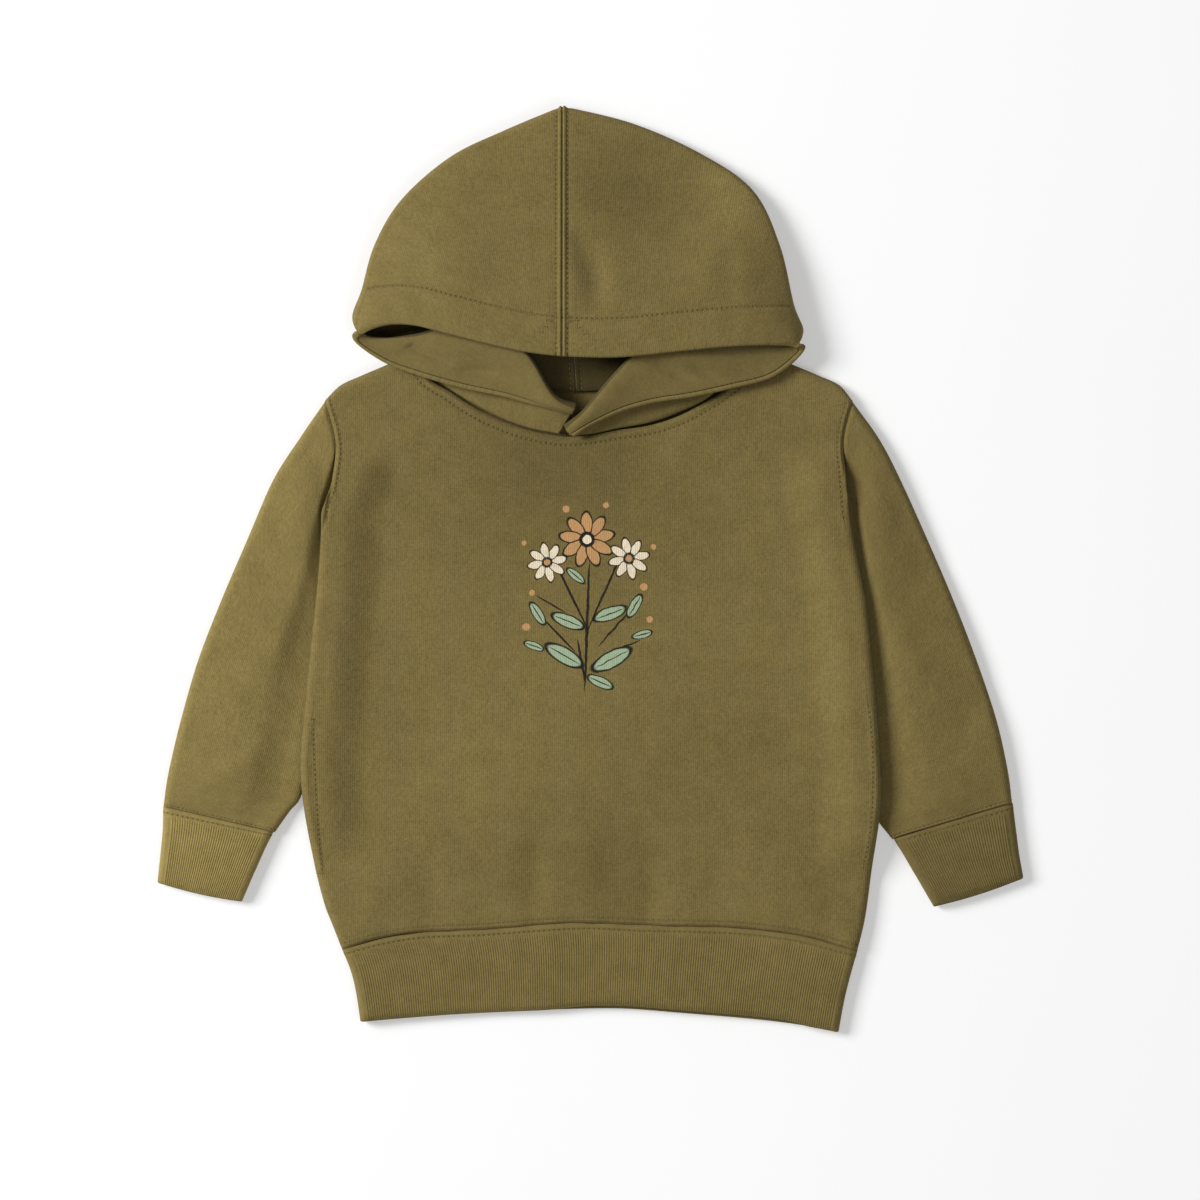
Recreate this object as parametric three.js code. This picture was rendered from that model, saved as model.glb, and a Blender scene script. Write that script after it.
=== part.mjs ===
// Toddler hoodie, size 2T, laid out flat on its back on a table.
// Millimetres. X runs to the right and Y toward the hood, both as seen from above; Z is up and 0 is the
// table. Left and right are as seen from above, looking down at the front of the garment.
import * as THREE from 'three';

// Cloth
const FLEECE = 2.0;            // body and sleeve wall
const BAND = 2.4;              // doubled rib of waistband and cuffs
const SHELL = 1.6;             // hood shell
const LINING = 1.0;            // hood lining
const POCKETING = 0.9;         // jersey of the pocket bags
const SEAM = 0.3;              // gap left between pieces at a seam

// Heights of the laid garment
const BODY_LOFT = 7.5;         // front and back panels, one on the other
const BAND_LOFT = 7.4;
const SLEEVE_LOFT = 7.4;
const SLEEVE_UNDER = 4.7;      // sleeve where the body lies over it
const SIDE_LIFT = 5.4;         // how far the body's sides rise over the sleeves
const SIDE_ROUND = 5;          // how far in from an edge the cloth turns over
const HOOD_ROLL = 1.4;         // inside radius where the rolled front turns back
const HOOD_CLOTH = SHELL + SEAM + LINING;
const CORNER_SHARE = 0.72;     // how far along the straight section at each corner the cloth turns
const CORNER_EASING = 24;      // rounds of evening out the wall's directions, for its pinched corners

// Ribs
const WAIST_RIBS = 90;
const CUFF_RIBS = 20;
const RIB_DEPTH = 0.3;

// Side edges of the body, by height
const BODY_EDGE = [
  { y: -220.5, left: -143.5, right: 155 },
  { y: -206.5, left: -149, right: 158.5 },
  { y: -195, left: -153.5, right: 160.5 },
  { y: -171.5, left: -159.5, right: 163.5 },
  { y: -134, left: -166, right: 168.5 },
  { y: -111, left: -167.5, right: 168 },
  { y: -76, left: -164.5, right: 165.5 },
  { y: -41, left: -161, right: 162 },
  { y: -18, left: -158.5, right: 159.5 },
  { y: 5, left: -156.5, right: 155 },
  { y: 22.5, left: -155.5, right: 151.5 },
  { y: 33, left: -155, right: 149.5 },
  { y: 40, left: -152.5, right: 149 },
  { y: 48.5, left: -149.5, right: 148 },
  { y: 57.5, left: -148, right: 147.5 },
  { y: 69, left: -147, right: 146.5 },
  { y: 80.5, left: -148.5, right: 147.5 },
  { y: 97.5, left: -153.5, right: 152 },
];

// Shoulders and front neck, by x
const FRONT_TOP = [
  { x: -153.5, y: 97.5 }, { x: -145, y: 106 }, { x: -133.5, y: 111.5 }, { x: -115, y: 119.5 },
  { x: -103, y: 126 }, { x: -94.5, y: 111.5 }, { x: -81, y: 102.5 }, { x: -64, y: 91.5 },
  { x: -40.5, y: 81.5 }, { x: -15.5, y: 76.5 }, { x: 0, y: 77.5 }, { x: 17.5, y: 80.5 },
  { x: 35, y: 83 }, { x: 52, y: 88.5 }, { x: 69.5, y: 98 }, { x: 79.5, y: 105 },
  { x: 90, y: 116.5 }, { x: 95.5, y: 127 }, { x: 119.5, y: 117.5 }, { x: 133.5, y: 111.5 },
  { x: 145, y: 106 }, { x: 152, y: 97.5 },
];

// Shoulders and back neck, by x
const BACK_TOP = [
  { x: -153.5, y: 97.5 }, { x: -145, y: 106 }, { x: -133.5, y: 111.5 }, { x: -115, y: 119.5 },
  { x: -103, y: 126 }, { x: -75.5, y: 114.5 }, { x: -40.5, y: 107.5 }, { x: -7.5, y: 105 },
  { x: 29, y: 108 }, { x: 64, y: 115 }, { x: 95.5, y: 127 }, { x: 119.5, y: 117.5 },
  { x: 133.5, y: 111.5 }, { x: 145, y: 106 }, { x: 152, y: 97.5 },
];

// Waistband seam and hem, by x
const WAIST_SEAM = [
  { x: -143.5, y: -220.5 }, { x: -122, y: -214.5 }, { x: -98.5, y: -210.5 }, { x: -64, y: -209 },
  { x: -6, y: -205 }, { x: 29, y: -206.3 }, { x: 87, y: -208 }, { x: 122, y: -212.5 },
  { x: 145, y: -218.5 }, { x: 155, y: -221 },
];
const HEM = [
  { x: -133, y: -262 }, { x: -110, y: -260 }, { x: -75.5, y: -257.5 }, { x: -17.5, y: -255 },
  { x: 17.5, y: -254.5 }, { x: 52, y: -257 }, { x: 98.5, y: -261 }, { x: 122, y: -264 },
  { x: 144, y: -268 },
];
const BAND_EDGE = [
  { down: 0, left: -143.5, right: 155 },
  { down: 0.3, left: -138.5, right: 151 },
  { down: 0.6, left: -135.5, right: 147.5 },
  { down: 1, left: -133, right: 144 },
];

// Where a side lies over a sleeve, by height: 0 on the table, 1 fully lifted
const LIFT_LEFT = [
  { y: -170, share: 0 }, { y: -140, share: 1 }, { y: 51, share: 1 }, { y: 74, share: 0 },
];
const LIFT_RIGHT = [
  { y: -182, share: 0 }, { y: -154, share: 1 }, { y: 51, share: 1 }, { y: 74, share: 0 },
];

// Armhole seams under the body's sides, by y; above them they run along the body's edge
const ARMHOLE_LEFT = [
  { y: 5, x: -150 }, { y: 19.5, x: -152.5 }, { y: 31.5, x: -152 }, { y: 40, x: -150.5 },
  { y: 56, x: -148.2 },
];
const ARMHOLE_RIGHT = [
  { y: 5, x: 148.5 }, { y: 22.5, x: 149 }, { y: 40, x: 148.7 }, { y: 56, x: 147.6 },
];

// Sleeve sections, from the armhole to the cuff seam: outer edge, inner edge, and how much of the
// armhole's curve and of the flattening under the body each has
const SLEEVE_LEFT = [
  { outer_x: -153.5, outer_y: 97, inner_x: -150, inner_y: 5, bow: 1, under: 1, drop: 0.52 },
  { outer_x: -168, outer_y: 76, inner_x: -150, inner_y: -9.5, bow: 0.5, under: 1, drop: 0.75 },
  { outer_x: -183.5, outer_y: 51.5, inner_x: -152, inner_y: -29.5, bow: 0.1, under: 1, drop: 0.85 },
  { outer_x: -198.5, outer_y: 17, inner_x: -154.5, inner_y: -50, bow: 0, under: 1, drop: 0.85 },
  { outer_x: -213.5, outer_y: -18, inner_x: -157, inner_y: -73, bow: 0, under: 1, drop: 0.85 },
  { outer_x: -227, outer_y: -53, inner_x: -160, inner_y: -96.5, bow: 0, under: 1, drop: 0.85 },
  { outer_x: -237, outer_y: -87.5, inner_x: -163.5, inner_y: -117.5, bow: 0, under: 1, drop: 0.85 },
  { outer_x: -243, outer_y: -112.5, inner_x: -168, inner_y: -133, bow: 0, under: 1, drop: 0.85 },
  { outer_x: -245.5, outer_y: -125.5, inner_x: -174, inner_y: -140.5, bow: 0, under: 0.6, drop: 0.85 },
  { outer_x: -247, outer_y: -137.5, inner_x: -182.5, inner_y: -152.5, bow: 0, under: 0, drop: 0.85 },
];
const SLEEVE_RIGHT = [
  { outer_x: 152.5, outer_y: 97, inner_x: 148.5, inner_y: 5, bow: 1, under: 1, drop: 0.52 },
  { outer_x: 168, outer_y: 75, inner_x: 149, inner_y: -9.5, bow: 0.5, under: 1, drop: 0.75 },
  { outer_x: 180, outer_y: 51.5, inner_x: 152.5, inner_y: -29.5, bow: 0.1, under: 1, drop: 0.85 },
  { outer_x: 195.5, outer_y: 17, inner_x: 155.5, inner_y: -50, bow: 0, under: 1, drop: 0.85 },
  { outer_x: 210.5, outer_y: -18, inner_x: 158, inner_y: -73, bow: 0, under: 1, drop: 0.85 },
  { outer_x: 224, outer_y: -53, inner_x: 160, inner_y: -96.5, bow: 0, under: 1, drop: 0.85 },
  { outer_x: 235.5, outer_y: -87.5, inner_x: 162, inner_y: -122.5, bow: 0, under: 1, drop: 0.85 },
  { outer_x: 242, outer_y: -116.5, inner_x: 164, inner_y: -141, bow: 0, under: 1, drop: 0.85 },
  { outer_x: 244.5, outer_y: -135.5, inner_x: 175, inner_y: -156.5, bow: 0, under: 0.4, drop: 0.85 },
];

// Cuff sections, from the seam to the hem
const CUFF_LEFT = [
  { outer_x: -247.2, outer_y: -138, inner_x: -183.4, inner_y: -153 },
  { outer_x: -247, outer_y: -151.5, inner_x: -188, inner_y: -160.5 },
  { outer_x: -248.5, outer_y: -167, inner_x: -194.5, inner_y: -175 },
  { outer_x: -250.5, outer_y: -181, inner_x: -201.5, inner_y: -192 },
];
const CUFF_RIGHT = [
  { outer_x: 244.9, outer_y: -136, inner_x: 176, inner_y: -157 },
  { outer_x: 246, outer_y: -149, inner_x: 181.5, inner_y: -164.5 },
  { outer_x: 248, outer_y: -164.5, inner_x: 188.5, inner_y: -176.5 },
  { outer_x: 251, outer_y: -178.5, inner_x: 199, inner_y: -195 },
];

// How far a pocket bag's far corners are rounded in, as a share of its width past the side
const POCKET_CORNER = 0.35;

// Hood halves, a row for each section from the centre front round the side neck to the centre seam.
// The base is on the neck seam, and the rim is the mouth's edge. A rolled section turns back at its
// turn with the lining outside. A hooded one goes under the head, turns over at the outline, which is
// its turn, and comes back on top. The one between them runs straight from base to rim.
const HOOD_LEFT = [
  { kind: 'rolled', base_x: -18, base_y: 78.2, base_z: 7.6, turn_x: -7, turn_y: 95.5, turn_z: 13,
    rim_x: -11, rim_y: 92, rim_z: 13 },
  { kind: 'rolled', base_x: -35, base_y: 81.6, base_z: 7.6, turn_x: -20.5, turn_y: 101.5, turn_z: 15.5,
    rim_x: -28.5, rim_y: 96, rim_z: 13.5 },
  { kind: 'rolled', base_x: -52, base_y: 87.8, base_z: 7.6, turn_x: -36.5, turn_y: 125.5, turn_z: 17,
    rim_x: -48, rim_y: 101, rim_z: 13 },
  { kind: 'rolled', base_x: -75.5, base_y: 100.6, base_z: 7.6, turn_x: -59.5, turn_y: 143.5, turn_z: 17,
    rim_x: -73.5, rim_y: 106, rim_z: 12 },
  { kind: 'rolled', base_x: -91, base_y: 111.5, base_z: 7.6, turn_x: -83, turn_y: 141, turn_z: 13,
    rim_x: -100, rim_y: 113.5, rim_z: 11 },
  { kind: 'rolled', base_x: -96.3, base_y: 119, base_z: 7.8, turn_x: -102, turn_y: 136, turn_z: 11,
    rim_x: -119, rim_y: 121, rim_z: 10 },
  { kind: 'straight', base_x: -100, base_y: 128.5, base_z: 5, rim_x: -136, rim_y: 133,
    rim_z: 11.5 },
  { kind: 'hooded', base_x: -92, base_y: 124, base_z: 2, turn_x: -137.5, turn_y: 144, turn_z: 14.5,
    rim_x: -132, rim_y: 138.5, rim_z: 16.5 },
  { kind: 'hooded', base_x: -81, base_y: 118.5, base_z: 0.8, turn_x: -132, turn_y: 162, turn_z: 16,
    rim_x: -119, rim_y: 142, rim_z: 20 },
  { kind: 'hooded', base_x: -66.5, base_y: 114, base_z: 0, turn_x: -124.5, turn_y: 188, turn_z: 14,
    rim_x: -102.5, rim_y: 141.5, rim_z: 22.5 },
  { kind: 'hooded', base_x: -49.5, base_y: 110.2, base_z: 0, turn_x: -109, turn_y: 214, turn_z: 12,
    rim_x: -84, rim_y: 137, rim_z: 24 },
  { kind: 'hooded', base_x: -32, base_y: 107.4, base_z: 0, turn_x: -81, turn_y: 238.5, turn_z: 11,
    rim_x: -58, rim_y: 130.5, rim_z: 25 },
  { kind: 'hooded', base_x: -18.5, base_y: 106.7, base_z: 0, turn_x: -49.5, turn_y: 254, turn_z: 10,
    rim_x: -36.5, rim_y: 126, rim_z: 26 },
  { kind: 'hooded', base_x: -8, base_y: 106.2, base_z: 0, turn_x: -16, turn_y: 268, turn_z: 10,
    rim_x: -16, rim_y: 123.5, rim_z: 26 },
];
const HOOD_RIGHT = [
  { kind: 'rolled', base_x: -12, base_y: 77.5, base_z: 7.6, turn_x: -14, turn_y: 84, turn_z: 10.5,
    rim_x: -10, rim_y: 77.5, rim_z: 11.2 },
  { kind: 'rolled', base_x: 0, base_y: 78, base_z: 7.6, turn_x: -3.5, turn_y: 92, turn_z: 14.5,
    rim_x: 1, rim_y: 84.5, rim_z: 13 },
  { kind: 'rolled', base_x: 17.5, base_y: 81.6, base_z: 7.6, turn_x: 9.5, turn_y: 107.5, turn_z: 17,
    rim_x: 18.5, rim_y: 92.5, rim_z: 13.5 },
  { kind: 'rolled', base_x: 35, base_y: 84.9, base_z: 7.6, turn_x: 25, turn_y: 124.5, turn_z: 17,
    rim_x: 37.5, rim_y: 97.5, rim_z: 13 },
  { kind: 'rolled', base_x: 52, base_y: 90.9, base_z: 7.6, turn_x: 40.5, turn_y: 141.5, turn_z: 16,
    rim_x: 58, rim_y: 100.5, rim_z: 12.5 },
  { kind: 'rolled', base_x: 70, base_y: 100.4, base_z: 7.6, turn_x: 64, turn_y: 143.5, turn_z: 14,
    rim_x: 81, rim_y: 105.5, rim_z: 11 },
  { kind: 'rolled', base_x: 86.8, base_y: 118.3, base_z: 8, turn_x: 92, turn_y: 134, turn_z: 11,
    rim_x: 105.5, rim_y: 112.5, rim_z: 10.5 },
  { kind: 'straight', base_x: 91.2, base_y: 129.4, base_z: 5.6, rim_x: 123, rim_y: 127, rim_z: 11.6 },
  { kind: 'hooded', base_x: 84, base_y: 124, base_z: 2, turn_x: 123.5, turn_y: 137, turn_z: 14.5,
    rim_x: 119, rim_y: 130.5, rim_z: 16.5 },
  { kind: 'hooded', base_x: 72.5, base_y: 119.5, base_z: 0.8, turn_x: 118, turn_y: 153, turn_z: 16,
    rim_x: 107.5, rim_y: 130.5, rim_z: 20 },
  { kind: 'hooded', base_x: 58, base_y: 115, base_z: 0, turn_x: 110, turn_y: 187, turn_z: 14,
    rim_x: 94, rim_y: 130, rim_z: 22.5 },
  { kind: 'hooded', base_x: 40.5, base_y: 110.8, base_z: 0, turn_x: 94.5, turn_y: 219, turn_z: 12,
    rim_x: 77, rim_y: 129, rim_z: 24 },
  { kind: 'hooded', base_x: 23, base_y: 108.2, base_z: 0, turn_x: 64, turn_y: 240.5, turn_z: 11,
    rim_x: 52, rim_y: 126.5, rim_z: 25 },
  { kind: 'hooded', base_x: 6, base_y: 106.8, base_z: 0, turn_x: 24.5, turn_y: 258, turn_z: 10,
    rim_x: 16, rim_y: 123, rim_z: 26 },
  { kind: 'hooded', base_x: -8, base_y: 106.2, base_z: 0, turn_x: -16, turn_y: 268, turn_z: 10,
    rim_x: -16, rim_y: 123.5, rim_z: 26 },
];

// Soft folds: a ridge (rise above 0) or trough (below 0) along a line, and how wide it is
const BODY_FOLDS = [
  { from_x: -34, from_y: -204, to_x: -30, to_y: -150, width: 9, rise: -1.2 },
  { from_x: 36, from_y: -205, to_x: 34, to_y: -160, width: 9, rise: -1.1 },
  { from_x: -4, from_y: -205, to_x: -2, to_y: -140, width: 12, rise: 1.0 },
  { from_x: -140, from_y: 60, to_x: -100, to_y: 20, width: 11, rise: 1.0 },
  { from_x: 138, from_y: 56, to_x: 100, to_y: 10, width: 11, rise: 1.0 },
  { from_x: -150, from_y: -60, to_x: -120, to_y: -110, width: 14, rise: 1.0 },
  { from_x: 152, from_y: -60, to_x: 124, to_y: -120, width: 14, rise: 1.0 },
];
const SLEEVE_FOLDS_LEFT = [
  { from_x: -165, from_y: 60, to_x: -172, to_y: 10, width: 9, rise: 1.2 },
  { from_x: -176, from_y: -30, to_x: -196, to_y: -70, width: 9, rise: 1.0 },
  { from_x: -232, from_y: -60, to_x: -214, to_y: -105, width: 9, rise: -1.0 },
  { from_x: -186, from_y: -104, to_x: -222, to_y: -124, width: 8, rise: 1.2 },
];
const SLEEVE_FOLDS_RIGHT = [
  { from_x: 164, from_y: 60, to_x: 172, to_y: 8, width: 9, rise: 1.2 },
  { from_x: 178, from_y: -34, to_x: 200, to_y: -74, width: 9, rise: 1.0 },
  { from_x: 230, from_y: -58, to_x: 212, to_y: -104, width: 9, rise: -1.0 },
  { from_x: 188, from_y: -112, to_x: 224, to_y: -124, width: 8, rise: 1.2 },
];
const HOOD_FOLDS = [
  { from_x: -8, from_y: 196, to_x: 2, to_y: 150, width: 9, rise: -1.5 },
  { from_x: -10, from_y: 236, to_x: 60, to_y: 192, width: 16, rise: -2.2 },
  { from_x: 84, from_y: 214, to_x: 62, to_y: 160, width: 14, rise: 1.6 },
  { from_x: -100, from_y: 190, to_x: -70, to_y: 150, width: 16, rise: 1.4 },
  { from_x: -70, from_y: 226, to_x: -40, to_y: 170, width: 16, rise: -1.6 },
];

const clamp = THREE.MathUtils.clamp;
const lerp = THREE.MathUtils.lerp;
const smooth = THREE.MathUtils.smoothstep;

// Smooth curve through a table's rows: value as a function of key.
function curve(rows, key, value) {
  const x = rows.map((row) => row[key]);
  const y = rows.map((row) => row[value]);
  const slope = x.map((_, i) => {
    const a = Math.max(i - 1, 0);
    const b = Math.min(i + 1, x.length - 1);
    return (y[b] - y[a]) / (x[b] - x[a]);
  });
  return (at) => {
    const p = clamp(at, x[0], x[x.length - 1]);
    let i = 0;
    while (i < x.length - 2 && p > x[i + 1]) {
      i += 1;
    }
    const h = x[i + 1] - x[i];
    const t = (p - x[i]) / h;
    const t2 = t * t;
    const t3 = t2 * t;
    return (2 * t3 - 3 * t2 + 1) * y[i] + (t3 - 2 * t2 + t) * h * slope[i]
      + (3 * t2 - 2 * t3) * y[i + 1] + (t3 - t2) * h * slope[i + 1];
  };
}

// Straight pieces through a table's rows.
function line(rows, key, value) {
  return (at) => {
    let i = 0;
    while (i < rows.length - 2 && at > rows[i + 1][key]) {
      i += 1;
    }
    const t = clamp((at - rows[i][key]) / (rows[i + 1][key] - rows[i][key]), 0, 1);
    return lerp(rows[i][value], rows[i + 1][value], t);
  };
}

// Height that a table of soft folds adds at a point.
function relief(folds, x, y) {
  let z = 0;
  for (const fold of folds) {
    const dx = fold.to_x - fold.from_x;
    const dy = fold.to_y - fold.from_y;
    const along = ((x - fold.from_x) * dx + (y - fold.from_y) * dy) / (dx * dx + dy * dy);
    const t = clamp(along, 0, 1);
    const away = Math.hypot(x - fold.from_x - t * dx, y - fold.from_y - t * dy);
    z += fold.rise * Math.exp(-((away / fold.width) ** 2));
  }
  return z;
}

// A closed wall between two point grids: face is the outside, lining the inside, row by row. A ring
// closes on itself along each row. Faces are turned to point away from the wall.
function wall(face, back, ring) {
  const rows = face.length;
  const columns = face[0].length;
  const positions = [];
  for (const grid of [face, back]) {
    for (const row of grid) {
      for (const point of row) {
        positions.push(point.x, point.y, point.z);
      }
    }
  }
  const index = [];
  const at = (side, i, j) => side * rows * columns + i * columns + (j % columns);
  const quad = (a, b, c, d) => index.push(a, b, c, a, c, d);
  const last = ring ? columns : columns - 1;
  for (let i = 0; i < rows - 1; i += 1) {
    for (let j = 0; j < last; j += 1) {
      quad(at(0, i, j), at(0, i, j + 1), at(0, i + 1, j + 1), at(0, i + 1, j));
      quad(at(1, i, j), at(1, i + 1, j), at(1, i + 1, j + 1), at(1, i, j + 1));
    }
  }
  for (let j = 0; j < last; j += 1) {
    quad(at(0, 0, j), at(1, 0, j), at(1, 0, j + 1), at(0, 0, j + 1));
    quad(at(0, rows - 1, j), at(0, rows - 1, j + 1), at(1, rows - 1, j + 1), at(1, rows - 1, j));
  }
  if (!ring) {
    for (let i = 0; i < rows - 1; i += 1) {
      quad(at(0, i, 0), at(0, i + 1, 0), at(1, i + 1, 0), at(1, i, 0));
      const j = columns - 1;
      quad(at(0, i, j), at(1, i, j), at(1, i + 1, j), at(0, i + 1, j));
    }
  }
  if (signedVolume(positions, index) < 0) {
    for (let k = 0; k < index.length; k += 3) {
      [index[k + 1], index[k + 2]] = [index[k + 2], index[k + 1]];
    }
  }
  const geometry = new THREE.BufferGeometry();
  geometry.setAttribute('position', new THREE.Float32BufferAttribute(positions, 3));
  geometry.setIndex(index);
  geometry.computeVertexNormals();
  return geometry;
}

function signedVolume(positions, index) {
  const a = new THREE.Vector3();
  const b = new THREE.Vector3();
  const c = new THREE.Vector3();
  let volume = 0;
  for (let k = 0; k < index.length; k += 3) {
    a.fromArray(positions, index[k] * 3);
    b.fromArray(positions, index[k + 1] * 3);
    c.fromArray(positions, index[k + 2] * 3);
    volume += a.dot(b.cross(c)) / 6;
  }
  return volume;
}

// Direction square to a grid at each point. plane, where given, is a direction that the last row's
// must not have, so that two halves meet flat there.
function normals(grid, ring, plane) {
  const rows = grid.length;
  const columns = grid[0].length;
  return grid.map((row, i) => row.map((_, j) => {
    const up = grid[Math.min(i + 1, rows - 1)][j].clone().sub(grid[Math.max(i - 1, 0)][j]);
    const next = ring ? (j + 1) % columns : Math.min(j + 1, columns - 1);
    const before = ring ? (j + columns - 1) % columns : Math.max(j - 1, 0);
    const across = row[next].clone().sub(row[before]);
    const normal = across.cross(up).normalize();
    if (plane && i === rows - 1) {
      normal.addScaledVector(plane, -normal.dot(plane)).normalize();
    }
    return normal;
  }));
}

// Directions evened out with their neighbours, all but the first and last rows.
function eased(directions, rounds) {
  let now = directions;
  for (let round = 0; round < rounds; round += 1) {
    const before = now;
    now = before.map((row, i) => row.map((direction, j) => {
      if (i === 0 || i === before.length - 1) {
        return direction;
      }
      const sum = direction.clone().multiplyScalar(2).add(before[i - 1][j]).add(before[i + 1][j]);
      if (j > 0) {
        sum.add(row[j - 1]);
      }
      if (j < row.length - 1) {
        sum.add(row[j + 1]);
      }
      return sum.normalize();
    }));
  }
  return now;
}

const moved = (grid, direction, far) =>
  grid.map((row, i) => row.map((point, j) => point.clone().addScaledVector(direction[i][j], far)));

// Share of full height at a distance in from an edge that turns over.
const turned = (distance, reach) => Math.sqrt(1 - (1 - clamp(distance / reach, 0, 1)) ** 2);

const leftEdge = curve(BODY_EDGE, 'y', 'left');
const rightEdge = curve(BODY_EDGE, 'y', 'right');
const frontTop = line(FRONT_TOP, 'x', 'y');
const backTop = line(BACK_TOP, 'x', 'y');
const waistSeam = curve(WAIST_SEAM, 'x', 'y');
const hemLine = curve(HEM, 'x', 'y');
const liftLeft = line(LIFT_LEFT, 'y', 'share');
const liftRight = line(LIFT_RIGHT, 'y', 'share');

// How far the body is lifted by the sleeves that its sides lie on.
function lift(x, y) {
  const low = BODY_EDGE[0].y;
  const high = BODY_EDGE[BODY_EDGE.length - 1].y;
  const at = clamp(y, low, high);
  const left = smooth(liftLeft(y), 0, 1) * (1 - smooth(x - leftEdge(at), 12, 38));
  const right = smooth(liftRight(y), 0, 1) * (1 - smooth(rightEdge(at) - x, 12, 38));
  return SIDE_LIFT * (left + right);
}

// Shares across and up the body at which its panels, and what lies on them, have their points
const SIDE_SHARES = [0, 0.003, 0.009, 0.018, 0.04, 0.075, 0.12];
const MIDDLE_SHARES = [0.165, 0.21, 0.27, 0.33, 0.39, 0.45, 0.51, 0.57, 0.63, 0.69, 0.75, 0.815, 0.88];
const ACROSS_SHARES = [...SIDE_SHARES, ...MIDDLE_SHARES,
  ...SIDE_SHARES.slice(0, 6).map((u) => 1 - u).reverse()];
const UP_SHARES = [0, 0.05, 0.12, 0.19, 0.26, 0.34, 0.42, 0.5, 0.58, 0.66, 0.72, 0.77, 0.82, 0.87, 0.92,
  0.965, 0.983, 0.994, 1];

// Plan of a body panel at a share across and up.
function bodyPlan(u, v, top) {
  const low = BODY_EDGE[0].y;
  const high = BODY_EDGE[BODY_EDGE.length - 1].y;
  const topX = lerp(leftEdge(high), rightEdge(high), u);
  const topY = top(topX);
  const footX = lerp(leftEdge(low), rightEdge(low), u);
  const y = lerp(waistSeam(footX) + SEAM / 2, topY, v);
  const left = leftEdge(clamp(y, low, high));
  const right = rightEdge(clamp(y, low, high));
  return { topX, topY, left, right, x: lerp(left, right, u), y };
}

// A body panel: facing is 1 for the front and -1 for the back.
function bodyPanel(facing, top) {
  const neck = { left: -103, right: 95.5 };
  const face = [];
  const back = [];
  for (const v of UP_SHARES) {
    const faceRow = [];
    const backRow = [];
    for (const u of ACROSS_SHARES) {
      const { topX, topY, left, right, x, y } = bodyPlan(u, v, top);
      const sewn = 1 - smooth(y, 12, 44);
      const shoulder = 1 - smooth(topX, neck.left - 6, neck.left) + smooth(topX, neck.right, neck.right + 6);
      const side = turned(Math.min(x - left, right - x), SIDE_ROUND);
      const ridge = turned(topY - y, SIDE_ROUND);
      const height = (1 - sewn * (1 - side)) * (1 - shoulder * (1 - ridge));
      const middleZ = lift(x, y) + BODY_LOFT / 2;
      const fold = facing > 0 ? relief(BODY_FOLDS, x, y) * side * ridge : 0;
      const half = BODY_LOFT / 2 - SEAM / 2;
      const faceZ = middleZ + facing * (SEAM / 2 + half * height) + fold;
      const backZ = middleZ + facing * (SEAM / 2 + (half - FLEECE) * height) + fold;
      const inX = sewn * FLEECE * Math.sqrt(1 - side ** 2) * (u < 0.5 ? 1 : -1);
      const inY = shoulder * FLEECE * Math.sqrt(1 - ridge ** 2);
      faceRow.push(new THREE.Vector3(x, y, faceZ));
      backRow.push(new THREE.Vector3(x + inX, y - inY, backZ));
    }
    face.push(faceRow);
    back.push(backRow);
  }
  return wall(face, back, false);
}

// Points round a flattened tube's section: share across from its first edge, and 1 on top or -1 below.
function sectionSteps(topSteps, underSteps, width) {
  const bend = [0.7, 2.2, SIDE_ROUND].map((d) => d / width);
  const steps = [{ u: 0, over: 0 }];
  for (const u of bend) {
    steps.push({ u, over: 1 });
  }
  for (let k = 1; k < topSteps; k += 1) {
    steps.push({ u: lerp(bend[2], 1 - bend[2], k / topSteps), over: 1, rib: k % 2 });
  }
  for (const u of [...bend].reverse()) {
    steps.push({ u: 1 - u, over: 1 });
  }
  steps.push({ u: 1, over: 0 });
  for (const u of bend) {
    steps.push({ u: 1 - u, over: -1 });
  }
  for (let k = 1; k < underSteps; k += 1) {
    steps.push({ u: lerp(1 - bend[2], bend[2], k / underSteps), over: -1 });
  }
  for (const u of [...bend].reverse()) {
    steps.push({ u, over: -1 });
  }
  return steps;
}

// A flattened tube of cloth. place gives the plan point at a share across and a row, height the
// tube's height there, and raise what its top has on it.
function flatTube(steps, rows, thickness, place, height, raise) {
  const face = [];
  const back = [];
  for (let i = 0; i < rows; i += 1) {
    const first = place(0, i);
    const last = place(1, i);
    const width = first.distanceTo(last);
    const inward = last.clone().sub(first).normalize();
    const faceRow = [];
    const backRow = [];
    for (const step of steps) {
      const plan = place(step.u, i);
      const distance = Math.min(step.u, 1 - step.u) * width;
      const full = turned(distance, SIDE_ROUND);
      const half = height(step.u, i) / 2;
      const sign = step.over;
      const bump = sign > 0 ? raise(plan, step, i) * full : 0;
      const into = thickness * Math.sqrt(1 - full ** 2) * (step.u < 0.5 ? 1 : -1);
      faceRow.push(new THREE.Vector3(plan.x, plan.y, half + sign * half * full + bump));
      const inner = new THREE.Vector3(plan.x, plan.y, half + sign * (half - thickness) * full);
      backRow.push(inner.addScaledVector(new THREE.Vector3(inward.x, inward.y, 0), into));
    }
    face.push(faceRow);
    back.push(backRow);
  }
  return wall(face, back, true);
}

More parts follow.
